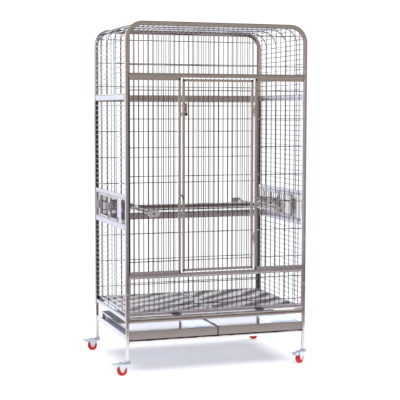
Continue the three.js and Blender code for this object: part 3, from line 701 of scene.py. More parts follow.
# %% Front and back frames
def arch_path(inset, foot, steps=12):
    corner = POST_X - CORNER
    radius = CORNER - inset
    path = [(-POST_X + inset, foot)]
    for side, first in ((-1, math.pi), (1, math.pi / 2)):
        for i in range(steps + 1):
            angle = first - math.pi / 2 * i / steps
            path.append((side * corner + radius * math.cos(angle),
                         BEND_LEVEL + radius * math.sin(angle)))
    return path + [(POST_X - inset, foot)]


def seam(work, wall, u, v):
    """The weld round the end of a rail."""
    half = TUBE / 2 - 0.3
    loop = []
    for n, level in rounded(2 * half, v[1] - v[0], 2.0, 2):
        loop.append(wall(u, n, level + (v[0] + v[1]) / 2))
    work.sweep(loop, circle(1.1, 6), (1, 0, 0), looped=True)


RAIL_FINISHES = [tray_rail_steel, grate_rail_steel, tube_steel, tube_steel]


def end_frame(name, wall, y, rails):
    """One bent hoop, its rails and the seams at their ends."""
    hoop, seams = Metalwork(), Metalwork()
    path = [(x, y, z) for x, z in arch_path(0, LEG_END)]
    hoop.sweep(path, rounded(TUBE, TUBE, 3.6), (0, 1, 0))
    for number, (rail, finish) in enumerate(zip(rails, RAIL_FINISHES), 1):
        work = Metalwork()
        lying_bar(work, wall, (-CLEAR_X - GAP, CLEAR_X + GAP), (-TUBE / 2, TUBE / 2), rail, 2.2)
        work.piece(f"{name}_rail_{number}", "cage", finish, slot="tube")
        for end in (-CLEAR_X, CLEAR_X):
            seam(seams, wall, end, rail)
    hoop.piece(name + "_hoop", "cage", hoop_steel[name], name, slot="tube")
    seams.piece(name + "_seams", "cage", weld_steel, slot="tube")


end_frame("front_frame", WALLS["front"], -POST_Y, FRONT_RAILS)
end_frame("back_frame", WALLS["back"], POST_Y, BACK_RAILS)
print("frames made")

# %% [markdown]
# Above the header the wires run straight up and stop under the bent tube, so each one is as
# long as the curve allows. A thin strip follows the bend and carries their ends.

# %% Grilles in the rounded top
def arch_top(x, inset):
    past = max(0, abs(x) - (POST_X - CORNER))
    return BEND_LEVEL + math.sqrt((CORNER - inset) ** 2 - past ** 2)


def arch_half(z, inset):
    past = max(0, z - BEND_LEVEL)
    return POST_X - CORNER + math.sqrt((CORNER - inset) ** 2 - past ** 2)


def rounded_grille(name, wall, y, foot, levels, upright_steel):
    edges, work, ties, welds = (Metalwork() for _ in range(4))
    inset = TUBE / 2 + GAP + 2.5
    path = [(x, y, z) for x, z in arch_path(inset, foot + 1)]
    edges.sweep(path, rounded(9, 5, 1.2, 2), (0, 1, 0))
    lying_bar(edges, wall, (-CLEAR_X + 1, CLEAR_X - 1), (-4.5, 4.5), (foot, foot + 5), 1.2)
    places = evenly(-CLEAR_X, CLEAR_X, WIRES_ACROSS)
    for x in places:
        work.wire(wall(x, OUTER, foot + 2), wall(x, OUTER, arch_top(x, inset)))
    for z in levels:
        half = arch_half(z, inset)
        ties.wire(wall(-half, INNER, z), wall(half, INNER, z))
        for x in places:
            if arch_top(x, inset) > z:
                welds.bead(wall(x, WELD_OUT, z), WELD)
    edges.piece(name + "_bars", "cage", tube_steel, name)
    work.piece(name + "_wires", "cage", upright_steel)
    ties.piece(name + "_cross_wires", "cage", cross_wire)
    welds.piece(name + "_welds", "cage", weld_steel)


rounded_grille("front_upper_grille", WALLS["front"], -POST_Y, 1435.4, [1478, 1626], front_wire)
rounded_grille("back_upper_grille", WALLS["back"], POST_Y, 1339.4, [1388, 1509.5, 1631], back_wire)

# %% [markdown]
# The flat panels all follow one recipe: four edge bars, closely set wires one way, widely set
# wires the other way behind them, and weld beads where they cross. The outermost upright
# bar of the panels beside the door can have a material of its own, with a painted dark
# reflection on the left one and a painted bright reflection on the right one.

# %% Flat panels at the front and back
def flat_panel(name, wall, u, v, bars, standing, lying, n, upright_steel, body="cage",
               stiles=(None, None)):
    """Edge bars are given as widths: left, right, bottom, top."""
    start, end, bottom, top = bars
    corner = 1.4
    edges, work, ties, welds = (Metalwork() for _ in range(4))
    spans = (u[0], u[0] + start), (u[1] - end, u[1])
    for label, span, finish in zip(("left", "right"), spans, stiles):
        stile = Metalwork() if finish else edges
        standing_bar(stile, wall, span, n, v, corner)
        if finish:
            stile.piece(f"{name}_{label}_stile", body, finish)
    lying_edges(edges, wall, u, n, v, (bottom, top), corner)
    wire_grid(work, ties, welds, wall, standing, lying,
              (u[0] + start - 1, u[1] - end + 1), (v[0] + bottom - 1, v[1] - top + 1))
    edges.piece(name + "_bars", body, tube_steel, name)
    work.piece(name + "_wires", body, upright_steel)
    ties.piece(name + "_cross_wires", body, cross_wire)
    welds.piece(name + "_welds", body, weld_steel)


THIN_BARS, THIN_DEPTH = (5, 5, 5, 5), (-4.5, 4.5)
THICK_BARS, THICK_DEPTH = (12, 12, 12, 12), (-6, 6)
back_levels = centred(812.3, CROSS_PITCH, 8)
for name, wall, levels, lying, finish in (
        ("front_lower_grille", "front", (296, 465.6), [327, 441], front_wire),
        ("back_lower_grille", "back", (275.4, 691.6), back_levels[:3], back_wire),
        ("back_middle_grille", "back", (717.4, 1313.6), back_levels[3:], back_wire)):
    flat_panel(name, WALLS[wall], SPAN_X, levels, THIN_BARS, evenly(-CLEAR_X, CLEAR_X, WIRES_ACROSS),
               lying, THIN_DEPTH, finish)

DOOR_HALF, DOOR_PITCH = 181.5, 24.9
DOOR_LEVELS = (488, 1413.6)
BESIDE_DOOR, BESIDE_LEVELS = 190, (482.4, 1419.6)
crosses = centred(sum(DOOR_LEVELS) / 2, CROSS_PITCH, 7)
beside = evenly(BESIDE_DOOR + 12, CLEAR_X, 9)
flat_panel("front_left_panel", WALLS["front"], (SPAN_X[0], -BESIDE_DOOR), BESIDE_LEVELS,
           (5.6, 12, 12.6, 13.6), [-x for x in beside], crosses, THICK_DEPTH, front_wire,
           stiles=(front_wire, None))
flat_panel("front_right_panel", WALLS["front"], (BESIDE_DOOR, SPAN_X[1]), BESIDE_LEVELS,
           (12, 5.6, 12.6, 13.6), beside, crosses, THICK_DEPTH, front_wire,
           stiles=(None, stile_steel))
flat_panel("front_door", WALLS["front"], (-DOOR_HALF, DOOR_HALF), DOOR_LEVELS, THICK_BARS,
           centred(0, DOOR_PITCH, 13), crosses, THICK_DEPTH, front_wire, body="door")
print("front and back panels made")

# %% [markdown]
# A butt hinge is a folded leaf with a barrel. The fixed leaf keeps the pin and the outer
# barrels; the middle barrel turns with the door. Domed pin ends and two screws in the fixed leaf
# make it read as a hinge and not as a block.

# %% Door hinges
HINGE_AXIS = (185.7, -POST_Y - 11)
HINGE_LEVELS = {"lower_door_hinge": 640, "upper_door_hinge": 1262}
PLATE = (6.4, 8.4)


def blocks(work, wall, *spans):
    """Several blocks on one wall, each as its spans along, out and up."""
    for along, out, up in spans:
        block(work, wall, along, out, up)


def screw(work, wall, u, n, v, radius=3.2):
    """A low domed head with a rounded rim."""
    profile = [(radius * 0.96, 0), (radius, 0.5), (radius * 0.8, 1.3), (radius * 0.4, 1.7), (0, 1.8)]
    work.turned(wall(u, n, v), outwards(wall), [(0, -0.5)] + profile, 12)


def barrel(work, spot, low, high, radius, dome=0.0):
    ends = [(0, low - dome), (radius * 0.7, low - dome * 0.8), (radius, low + 0.3)]
    ends += [(radius, high - 0.3), (radius * 0.7, high + dome * 0.8), (0, high + dome)]
    work.turned((spot[0], spot[1], 0), (0, 0, 1), ends, 18)


def door_hinge(name, z):
    wall = WALLS["front"]
    fixed, moving, screws = Metalwork(), Metalwork(), Metalwork()
    block(fixed, wall, (190.3, 200), PLATE, (z - 28, z + 28))
    for low, high in ((z - 28, z - 14.4), (z + 14.4, z + 28)):
        barrel(fixed, HINGE_AXIS, low, high, 4)
        block(fixed, wall, (HINGE_AXIS[0], HINGE_AXIS[0] + 6), (6.6, 9), (low, high))
    barrel(fixed, HINGE_AXIS, z - 27.9, z + 27.9, 2.6, 0.6)
    barrel(moving, HINGE_AXIS, z - 14, z + 14, 4)
    block(moving, wall, (HINGE_AXIS[0] - 10, HINGE_AXIS[0]), (5.8, 10), (z - 14, z + 14))
    for level in (z - 20, z + 20):
        screw(screws, wall, 196, PLATE[1], level, 2.2)
    fixed.piece(name + "_leaf", "cage", tube_steel, name, slot="tube", bevel=0.4)
    screws.piece(name + "_screws", "cage", bright_steel, slot="tube")
    moving.piece(name + "_knuckle", "door", tube_steel, slot="wire", bevel=0.4)


for name, level in HINGE_LEVELS.items():
    door_hinge(name, level)

# %% [markdown]
# The lock is a small case on the door with a slot in its face. A round knob reaches through
# the slot and slides the square bolt into the keeper on the fixed panel.

# %% Lock
BOLT_LEVEL = 1246.5
CASE, KEEPER = (-184, -164), (-202, -190.6)
KEEPER_SCREW = -196
KNOB = [(0, 17), (1.5, 17), (1.5, 22.5), (5.4, 22.5), (6, 23.1), (6, 25.6), (5.2, 26.5), (0, 26.5)]
RIVET_RIM = [(0, 21.5), (3.4, 21.5), (3.4, 22.3), (2.6, 22.6), (2.2, 22.2), (0, 22.2)]


def door_lock():
    wall = WALLS["front"]
    case, bolt, keeper, trim, screws = (Metalwork() for _ in range(5))
    z = BOLT_LEVEL
    walls, loop = (10.3, 22), (8.3, 21)
    blocks(case, wall, (CASE, (6.4, 10.4), (z - 10, z + 52)),
           (CASE, walls, (z + 4, z + 52)), (CASE, walls, (z - 10, z - 4)),
           ((-166.3, CASE[1]), walls, (z - 4.1, z + 4.1)),
           (CASE, (18.4, 21.9), (z + 1.9, z + 4.1)), (CASE, (18.4, 21.9), (z - 4.1, z - 1.9)))
    block(bolt, wall, (-183.6, -166.9), (10.9, 17.9), (z - 3.5, z + 3.5))
    bolt.turned(wall(-168.5, 0, z), outwards(wall), KNOB, 24)
    for rise in (21, 32, 45):
        trim.turned(wall(sum(CASE) / 2, 0, z + rise), outwards(wall), RIVET_RIM, 18)
    blocks(keeper, wall, (KEEPER, PLATE, (z - 14, z + 46)), (KEEPER, loop, (z + 4.5, z + 9)),
           (KEEPER, loop, (z - 9, z - 4.5)), (KEEPER, (18.8, 21), (z - 5, z + 5)),
           ((KEEPER[0], -199), loop, (z - 5, z + 5)))
    for rise in (18.5, 35.5):
        screw(screws, wall, KEEPER_SCREW, PLATE[1], z + rise, 2.6)
    screw(screws, wall, KEEPER_SCREW, loop[1], z, 2.2)
    case.piece("lock_case_shell", "door", tube_steel, "lock_case", slot="tube", bevel=0.6)
    trim.piece("lock_case_rivets", "door", dark_steel, slot="dark")
    bolt.piece("lock_bolt_and_knob", "bolt", dark_steel, "lock_bolt", slot="dark", bevel=0.3)
    keeper.piece("lock_keeper_staple", "cage", tube_steel, "lock_keeper", slot="tube", bevel=0.5)
    screws.piece("lock_keeper_screws", "cage", bright_steel, slot="tube")


door_lock()

# %% [markdown]
# Half way up the door a gravity latch backs up the lock: a flat lever on a stud that drops
# into a small open catch.

# %% Gravity latch
LATCH_X, LATCH_LEVEL = -176, 838
LATCH_LIFT = math.radians(60)


def gravity_latch():
    wall = WALLS["front"]
    lever, stud, catch, screws = (Metalwork() for _ in range(4))
    along = Vector((-math.cos(LATCH_LIFT), 0, math.sin(LATCH_LIFT)))
    across = Vector((math.sin(LATCH_LIFT), 0, math.cos(LATCH_LIFT)))
    pivot = wall(LATCH_X, 10.4, LATCH_LEVEL)
    outline = [(27, -1.6), (27, 1.6), (25.6, 3), (0, 3), (0, -3), (25.6, -3)]
    faces = []
    for side in (-1, 1):
        shift = Vector((0, side, 0))
        faces.append([pivot + shift + along * a + across * b for a, b in outline])
    lever.skin(faces)
    ring = [(2.6, -1), (5, -1), (5, 1), (2.6, 1)]
    lever.turned(pivot, (0, 1, 0), ring, 20, looped=True)
    head = [(0, 6), (2, 6), (2, 12), (3.7, 12), (4, 12.4), (3.4, 13.7), (1.6, 14), (0, 14)]
    stud.turned(wall(LATCH_X, 0, LATCH_LEVEL), outwards(wall), head, 20)
    z = LATCH_LEVEL
    hook = (KEEPER[0], -194)
    blocks(catch, wall, (KEEPER, PLATE, (z - 36, z + 36)), (hook, (8.3, 14.6), (z - 9, z - 4.4)),
           (hook, (12.6, 14.6), (z - 5, z + 5)))
    for level in (z - 25, z + 25):
        screw(screws, wall, KEEPER_SCREW, PLATE[1], level, 2.6)
    lever.piece("latch_lever_arm", "latch", dark_steel, "latch_lever", slot="dark", bevel=0.3)
    stud.piece("latch_stud", "door", bright_steel, slot="wire")
    catch.piece("latch_catch_plate", "cage", tube_steel, "latch_catch", slot="tube", bevel=0.5)
    screws.piece("latch_catch_screws", "cage", bright_steel, slot="tube")


gravity_latch()
print("door fittings made")

# %% [markdown]
# On the sides the closely set wires lie flat, front to back, and only four uprights tie them
# together. The wide bars under and over each side panel are the cage's side rails, and the
# rear upright bar carries the same painted dark shade as the four.

# %% Side panels
def side_panel(name, wall, v, bottom, top):
    edges, rear, work, uprights, welds = (Metalwork() for _ in range(5))
    span = SPAN_Y
    standing_bar(edges, wall, (span[0], span[0] + 8), (-6, 6), v)
    standing_bar(rear, wall, (span[1] - 8, span[1]), (-6, 6), v)
    lying_edges(edges, wall, span, (-6, 6), v, (bottom, top), 2)
    low, high = v[0] + bottom, v[1] - top
    levels = evenly(low, high, round((high - low) / PITCH) - 1)
    for level in levels:
        work.wire(wall(span[0] + 7, OUTER, level), wall(span[1] - 7, OUTER, level))
    for place in centred(0, CROSS_PITCH, 4):
        uprights.wire(wall(place, INNER, low - 1), wall(place, INNER, high + 1))
        for level in levels:
            welds.bead(wall(place, WELD_OUT, level), WELD)
    edges.piece(name + "_bars", "cage", rail_steel, name)
    rear.piece(name + "_rear_stile", "cage", side_upright)
    work.piece(name + "_wires", "cage", side_wire)
    uprights.piece(name + "_uprights", "cage", side_upright)
    welds.piece(name + "_welds", "cage", weld_steel)


for side in ("left", "right"):
    side_panel(side + "_lower_panel", WALLS[side], (256, 717), 19, 25)
    side_panel(side + "_upper_panel", WALLS[side], (846, 1339), 17, 25)

# %% [markdown]
# Between the side panels runs the feeder strip. Its uprights carry the hinge pins, a smooth
# guard plate fills the front end, and short wires close what is left.

# %% Feeder strips
OPENINGS = {"front": (-152, 17), "rear": (31, 229)}
GUARD = (-210, -152)
FEEDER = (717.4, 845.6)
FEEDER_MIDDLE = sum(FEEDER) / 2
HINGE_OUT = 9
BUTTON_LEVEL = 740
BUTTON_OFFSET = 5.5
GUARD_STEPS = 10


def feeder_strip(side):
    wall = WALLS[side]
    bars, wires, plate, fittings = (Metalwork() for _ in range(4))
    span = SPAN_Y
    for u in ((span[0], span[0] + 8), (span[1] - 8, span[1]), (17, 31), (229, 243)):
        standing_bar(bars, wall, u, (-5, 5), FEEDER)
    lying_edges(bars, wall, span, (-5, 5), FEEDER, (5.6, 5.6), 1.2)
    for u in evenly(span[0] + 8, GUARD[0], 3) + [(243 + span[1] - 8) / 2]:
        wires.wire(wall(u, OUTER, FEEDER[0] + 3), wall(u, OUTER, FEEDER[1] - 3))
    outline = []
    for i in range(GUARD_STEPS + 1):
        u = GUARD[0] + (GUARD[1] - GUARD[0]) * i / GUARD_STEPS
        outline.append((u, 3.6 + 1.3 * math.sin(math.pi * i / GUARD_STEPS)))
    outline += [(u, n - 1.6) for u, n in reversed(outline)]
    plate.skin([[wall(u, n, v) for u, n in outline] for v in FEEDER])
    for opening in OPENINGS.values():
        edge = opening[1] + 0.5
        spot = wall(edge, HINGE_OUT, 0)
        for low, high in ((FEEDER_MIDDLE - 22, FEEDER_MIDDLE - 8.4),
                          (FEEDER_MIDDLE + 8.4, FEEDER_MIDDLE + 22)):
            barrel(fittings, spot, low, high, 3.5)
            block(fittings, wall, (edge, edge + 6), (4.6, HINGE_OUT), (low, high))
        barrel(fittings, spot, FEEDER_MIDDLE - 21.9, FEEDER_MIDDLE + 21.9, 2.2, 0.5)
        stud = [(0, 4), (2.2, 4), (2.2, 8.2), (3.7, 8.2), (4, 8.6), (3.2, 9.6), (0, 9.8)]
        fittings.turned(wall(opening[0] - BUTTON_OFFSET, 0, BUTTON_LEVEL), outwards(wall), stud, 18)
    name = side + "_feeder_strip"
    bars.piece(name + "_bars", "cage", tube_steel, name, slot="tube")
    wires.piece(name + "_wires", "cage", side_upright, slot="wire")
    plate.piece(name + "_guard", "cage", guard_sheet, slot="tube", bevel=0.3)
    fittings.piece(name + "_fittings", "cage", tube_steel, slot="tube", bevel=0.25)


# %% [markdown]
# Each feeder door is a small frame of square bar with upright wires. A ring of flat bar is
# welded to its inside and holds a loose bowl by the rim, so the bowl swings out with the
# door for filling.

# %% Feeder doors, bowls and turn buttons
BOWL_IN = 52
RING_TOP = 803.6
BOWL_RADIUS, BOWL_RIM, BOWL_HEIGHT = 41, 46, 49


def feeder_door(side, end):
    wall = WALLS[side]
    opening = OPENINGS[end]
    u = (opening[0] + 2, opening[1] - 2)
    v = (FEEDER[0] + 7.6, FEEDER[1] - 7.6)
    middle = (u[0] + u[1]) / 2
    edge = opening[1] + 0.5
    bars, wires, ring = Metalwork(), Metalwork(), Metalwork()
    for span in ((u[0], u[0] + 10), (u[1] - 10, u[1])):
        standing_bar(bars, wall, span, (-4, 4), v)
    lying_edges(bars, wall, u, (-4, 4), v, (8, 8))
    for place in evenly(u[0] + 10, u[1] - 10, round((u[1] - u[0] - 20) / PITCH) - 1):
        wires.wire(wall(place, 0, v[0] + 4), wall(place, 0, v[1] - 4))
    lying_bar(ring, wall, (u[0] + 5, u[1] - 5), (-4, -1), (RING_TOP - 6, RING_TOP + 1), 0.8)
    lying_bar(ring, wall, (middle - 12, middle + 12), (-9, -2), (RING_TOP - 4, RING_TOP), 0.8)
    hoop = [(42, 0.5), (42.5, 0), (46, 0), (46.5, 0.5), (46.5, 3.5), (46, 4), (42.5, 4), (42, 3.5)]
    ring.turned(wall(middle, -BOWL_IN, RING_TOP - 4), (0, 0, 1), hoop, 48, looped=True)
    knuckle = (FEEDER_MIDDLE - 8, FEEDER_MIDDLE + 8)
    barrel(bars, wall(edge, HINGE_OUT, 0), *knuckle, 3.4)
    block(bars, wall, (edge - 10.5, edge), (3.6, HINGE_OUT - 1), knuckle)
    name = f"{side}_{end}_feeder"
    bars.piece(name + "_frame", name, tube_steel, name + "_door", slot="wire")
    wires.piece(name + "_wires", name, side_upright, slot="wire")
    ring.piece(name + "_ring", name, tube_steel, slot="wire")
    return wall(middle, -BOWL_IN, 0)


def bowl(side, end, spot):
    """A spun bowl: a rolled rim, sloping wall, rounded foot and a shallow ring in its base."""
    seat = BOWL_HEIGHT - 1.4
    base = RING_TOP + 0.4 - seat
    outer = [(0, 1.2), (10, 1.0), (20, 0.2), (26, 0.0), (29, 0.9), (31, 3.2), (36, 20),
             (40, 38), (BOWL_RADIUS, 43), (BOWL_RADIUS, seat - 0.4), (BOWL_RADIUS + 0.6, seat)]
    rim = [(BOWL_RIM - 0.8, seat), (BOWL_RIM, seat + 0.5), (BOWL_RIM - 0.5, BOWL_HEIGHT),
           (BOWL_RADIUS + 0.4, BOWL_HEIGHT), (BOWL_RADIUS - 1.2, seat - 0.8)]
    inner = [(BOWL_RADIUS - 1.3, 43), (38.7, 38), (34.7, 20.2), (29.8, 4.6), (27.8, 2.4),
             (24, 1.6), (12, 2.2), (0, 2.4)]
    shell = Metalwork()
    profile = outer + rim + inner
    shell.turned(spot + Vector((0, 0, base)), (0, 0, 1), profile, 48)
    name = f"{side}_{end}_bowl"
    shell.piece(name + "_shell", name, bowl_steel, name, slot="bowl", smooth=50)


def turn_button(side, end):
    """A small tongue that hangs from its stud in front of the door's edge."""
    wall = WALLS[side]
    place = OPENINGS[end][0] - BUTTON_OFFSET
    arm = Metalwork()
    outline = [(place + 4 * math.sin(a), BUTTON_LEVEL + 4 * math.cos(a))
               for a in (math.radians(d) for d in range(-120, 121, 20))]
    tip = BUTTON_LEVEL - 12.6
    outline += [(place + 3.0 * math.sin(a), tip + 2.9 * math.cos(a))
                for a in (math.radians(d) for d in range(100, 261, 20))]
    arm.skin([[wall(u, n, v) for u, v in outline] for n in (5.4, 7.6)])
    name = f"{side}_{end}_turn_button"
    arm.piece(name + "_arm", f"{side}_{end}_button", dark_steel, name, slot="dark", bevel=0.4)


for side in ("left", "right"):
    feeder_strip(side)
    for end in OPENINGS:
        bowl(side, end, feeder_door(side, end))
        turn_button(side, end)
print("side walls and feeders made")

# %% [markdown]
# The roof is one bent panel: wires run front to back and follow the rounded corners from
# one side wall over to the other, tied by hoops that are bent to the same curve.

# %% Roof
ROOF_FOOT = 1339.4


def along_arch(distance, foot):
    """The place and the slope at a distance along the bent line, from the left foot."""
    rise = BEND_LEVEL - foot
    bend = math.pi / 2 * CORNER
    top = 2 * (POST_X - CORNER)
    if distance < rise:
        return -POST_X, foot + distance, 0.0
    if distance < rise + bend:
        angle = (distance - rise) / CORNER
        return (-POST_X + CORNER * (1 - math.cos(angle)), BEND_LEVEL + CORNER * math.sin(angle), angle)
    if distance <= rise + bend + top / 2:
        return -POST_X + CORNER + distance - rise - bend, TOP_LINE, math.pi / 2
    x, z, angle = along_arch(2 * (rise + bend) + top - distance, foot)
    return -x, z, math.pi - angle


def roof():
    foot, end = ROOF_FOOT, SPAN_Y[1]
    bars, wires, hoops, welds = (Metalwork() for _ in range(4))
    for y in (-end + 4, end - 4):
        path = [(x, y, z) for x, z in arch_path(0, foot)]
        bars.sweep(path, rounded(8, 8, 1.5, 2), (0, 1, 0))
    for side in ("left", "right"):
        lying_bar(bars, WALLS[side], (-end + 1, end - 1), (-4, 4), (foot, foot + 6), 1.2)
    for y in centred(0, CROSS_PITCH, 4):
        path = [(x, y, z) for x, z in arch_path(-INNER, foot + 3)]
        hoops.sweep(path, circle(WIRE, 8), (0, 1, 0))
    length = 2 * (BEND_LEVEL - foot) + math.pi * CORNER + 2 * (POST_X - CORNER)
    for distance in evenly(6, length - 6, round(length / PITCH) - 1):
        x, z, angle = along_arch(distance, foot)
        x, z = x - OUTER * math.cos(angle), z + OUTER * math.sin(angle)
        wires.wire((x, -end + 3, z), (x, end - 3, z))
        for y in centred(0, CROSS_PITCH, 4):
            welds.bead((x + WIRE * math.cos(angle), y, z - WIRE * math.sin(angle)), WELD)
    bars.piece("roof_panel_end_hoops", "cage", tube_steel, "roof_panel")
    wires.piece("roof_panel_wires", "cage", roof_wire)
    hoops.piece("roof_panel_inner_hoops", "cage", side_upright)
    welds.piece("roof_panel_welds", "cage", weld_steel)


roof()

# %% [markdown]
# The perch is a polished tube resting between two rails. Each rail ends in a rounded plate,
# and a second plate outside the wires is bolted to it, so the two clamp the wires.

# %% Perch
PERCH_LEVEL = 772.5
PERCH_X = 325.5
PERCH_RADIUS, PERCH_RAIL_RADIUS = 13.5, 10
PLATE_HALF_WIDTH, PLATE_HALF_HEIGHT = 29, 17


def capsule(x, half_width, half_height, inset=0.0):
    straight = half_width - half_height
    radius = half_height - inset
    points = []
    for side, first in ((1, -90), (-1, 90)):
        for degrees in range(first, first + 181, 15):
            a = math.radians(degrees)
            points.append((x + side * straight + radius * math.cos(a), PERCH_LEVEL + radius * math.sin(a)))
    return points


def clamp_plate(work, x, end, inner, outer):
    """A capsule plate with rounded edges, between two distances out from the middle."""
    edge = [(inner, 0.7), (inner + 0.7, 0.0), (outer - 0.7, 0.0), (outer, 0.7)]
    outlines = [(depth, capsule(x, PLATE_HALF_WIDTH, PLATE_HALF_HEIGHT, inset)) for depth, inset in edge]
    work.skin([[Vector((a, end * depth, b)) for a, b in outline] for depth, outline in outlines])


def perch_rail(side_name, side):
    x = side * PERCH_X
    inner = POST_Y - 4.2
    rail, plates, bolts = Metalwork(), Metalwork(), Metalwork()
    rail.wire((x, -inner + 2, PERCH_LEVEL), (x, inner - 2, PERCH_LEVEL), PERCH_RAIL_RADIUS, 32)
    for end in (-1, 1):
        clamp_plate(plates, x, end, inner - 4, inner)
        clamp_plate(plates, x, end, POST_Y + 4.4, POST_Y + 7.4)
        cup = [(0, 7.2), (5.4, 7.2), (5.4, 8.2), (4.4, 8.8), (3.0, 8.2), (0, 7.9)]
        bolts.turned((x, end * POST_Y, PERCH_LEVEL), (0, end, 0), cup, 20)
        for offset in (-PITCH / 2, PITCH / 2):
            spot = (x + offset, end * POST_Y, PERCH_LEVEL)
            bolts.turned(spot, (0, end, 0), [(0, -5), (2.5, -5), (2.5, 5), (0, 5)], 12)
    name = side_name + "_perch_rail"
    rail.piece(name + "_tube", "cage", perch_steel, name, slot="tube")
    plates.piece(name + "_plates", "cage", plate_steel, slot="tube")
    bolts.piece(name + "_bolts", "cage", dark_steel, slot="tube")


def perch_tube():
    half = PERCH_X - PERCH_RAIL_RADIUS - GAP
    tube = Metalwork()
    radius = PERCH_RADIUS
    profile = [(0, -half), (radius - 1.2, -half), (radius, -half + 1), (radius, half - 1),
               (radius - 1.2, half), (0, half)]
    tube.turned((0, 0, PERCH_LEVEL), (1, 0, 0), profile, 40)
    tube.piece("perch_tube", "cage", perch_steel, "perch", slot="tube")


perch_rail("left", -1)
perch_rail("right", 1)
perch_tube()

# %% [markdown]
# Under the cage two wire grates and two shallow trays slide out forwards on rails at the sides
# and on a double runner in the middle.

# %% Runners
def side_tray_rail(side):
    wall = WALLS[side]
    work = Metalwork()
    outline = [(0, 188), (4, 188), (4, 163), (-21, 163), (-21, 169), (0, 169)]
    work.skin([[wall(u, n, v) for n, v in outline] for u in SPAN_Y])
    work.piece(side + "_tray_rail_angle", "cage", tube_steel, side + "_tray_rail", slot="tube", bevel=0.8)


def centre_runner():
    work = Metalwork()
    for half, low, high in ((9, 256, 275), (16, 163, 169)):
        path = [(0, y, (low + high) / 2) for y in SPAN_Y]
        work.sweep(path, rounded(2 * half, high - low, 1.4), (1, 0, 0))
    strut = (0, SPAN_Y[1] - 4)
    work.sweep([(*strut, 166), (*strut, 258)], rounded(14, 8, 1.4), (1, 0, 0))
    work.piece("centre_runner_bars", "cage", tube_steel, "centre_runner", slot="tube")


for side in ("left", "right"):
    side_tray_rail(side)
centre_runner()

# %% [markdown]
# A grate is a row of 33 rods in a flat frame with a deeper front bar, and a flattened
# round pull stands on that bar. Each tray is a folded pan, so its walls have sheet thickness
# and a folded lip on each side.

# %% Grates and trays
def box_bar(work, x, y, z, corner=1.2):
    """A rounded bar that runs along the longer of x and y."""
    middle = [(x[0] + x[1]) / 2, (y[0] + y[1]) / 2, (z[0] + z[1]) / 2]
    if x[1] - x[0] > y[1] - y[0]:
        path = [(x[0], *middle[1:]), (x[1], *middle[1:])]
        work.sweep(path, rounded(y[1] - y[0], z[1] - z[0], corner), (0, 1, 0))
    else:
        path = [(middle[0], y[0], middle[2]), (middle[0], y[1], middle[2])]
        work.sweep(path, rounded(x[1] - x[0], z[1] - z[0], corner), (1, 0, 0))


GRATE_RODS, ROD_RADIUS, TIE_RADIUS = 33, 3.2, 1.9
ROD_LEVEL, TIE_LEVEL = 285.2, 281.8
GRATE_FRAME, GRATE_FRONT = (278, 288), (278, 294)


def grate(side_name, side):
    x = sorted((side * 1.2, side * (CLEAR_X - 1.6)))
    y = (-POST_Y - 7, CLEAR_Y - 5)
    bars, rods = Metalwork(), Metalwork()
    box_bar(bars, x, (y[0], y[0] + 12), GRATE_FRONT, 2)
    box_bar(bars, x, (y[1] - 8, y[1]), GRATE_FRAME)
    for span in ((x[0], x[0] + 8), (x[1] - 8, x[1])):
        box_bar(bars, span, (y[0] + 6, y[1]), GRATE_FRAME)
    for place in evenly(x[0] + 8, x[1] - 8, GRATE_RODS):
        rods.wire((place, y[0] + 10, ROD_LEVEL), (place, y[1] - 6, ROD_LEVEL), ROD_RADIUS, 10)
    for place in centred(0, 2 * CROSS_PITCH, 2):
        rods.wire((x[0] + 6, place, TIE_LEVEL), (x[1] - 6, place, TIE_LEVEL), TIE_RADIUS)
    body = side_name + "_grate"
    bars.piece(body + "_bars", body, tube_steel, body)
    rods.piece(body + "_rods", body, grate_steel)


PULL_X, PULL_LEVEL = 215, 286
PULL_HALF_WIDTH, PULL_HALF_HEIGHT = 25, 7


def grate_pull(side_name, side):
    pull = Metalwork()
    rings = []
    for depth, spread in ((7.4, 0.82), (9.4, 0.80), (11, 0.92), (16, 1.0), (19.6, 0.96), (21, 0.80)):
        rings.append([Vector((side * PULL_X + PULL_HALF_WIDTH * spread * a, -POST_Y - depth,
                              PULL_LEVEL + PULL_HALF_HEIGHT * spread * b)) for a, b in circle(1, 32)])
    pull.skin(rings)
    body = side_name + "_grate"
    pull.piece(body + "_pull", body, dark_steel, body + "_handle", slot="dark", smooth=40)


def tray(side_name, side):
    """A folded pan behind a full-width front, both in thin sheet."""
    x = sorted((side * 3, side * (CLEAR_X - 3)))
    y = (-POST_Y - 7.5, CLEAR_Y - 10)
    low, top, sheet = 169.4, 209, 1.5
    inset = 7

    def ring(grow, level, front):
        lo_x, hi_x = x[0] + inset - grow, x[1] - inset + grow
        lo_y, hi_y = y[0] + front, y[1] - max(0, -grow)
        return [Vector((a, b, level)) for a, b in ((lo_x, lo_y), (hi_x, lo_y), (hi_x, hi_y), (lo_x, hi_y))]

    pan, face = Metalwork(), Metalwork()
    pan.skin([ring(0, low, 1.6), ring(0, top - sheet, 1.6), ring(inset, top - sheet, 11),
              ring(inset, top, 11), ring(-sheet, top, 1.6 + sheet), ring(-sheet, low + sheet, 1.6 + sheet)])
    outline = [(y[0], low), (y[0], top - 0.4), (y[0] + 0.4, top), (y[0] + 4, top), (y[0] + 4, top - 1.4),
               (y[0] + 1.5, top - 1.4), (y[0] + 1.5, low)]
    face.skin([[Vector((a, b, c)) for b, c in outline] for a in x])
    body = side_name + "_tray"
    pan.piece(body + "_pan", body, tray_steel, body, slot="sheet", bevel=0.5)
    face.piece(body + "_front", body, front_sheet, slot="sheet", bevel=0.3)


for side_name, side in (("left", -1), ("right", 1)):
    grate(side_name, side)
    grate_pull(side_name, side)
    tray(side_name, side)
print("floor parts made")

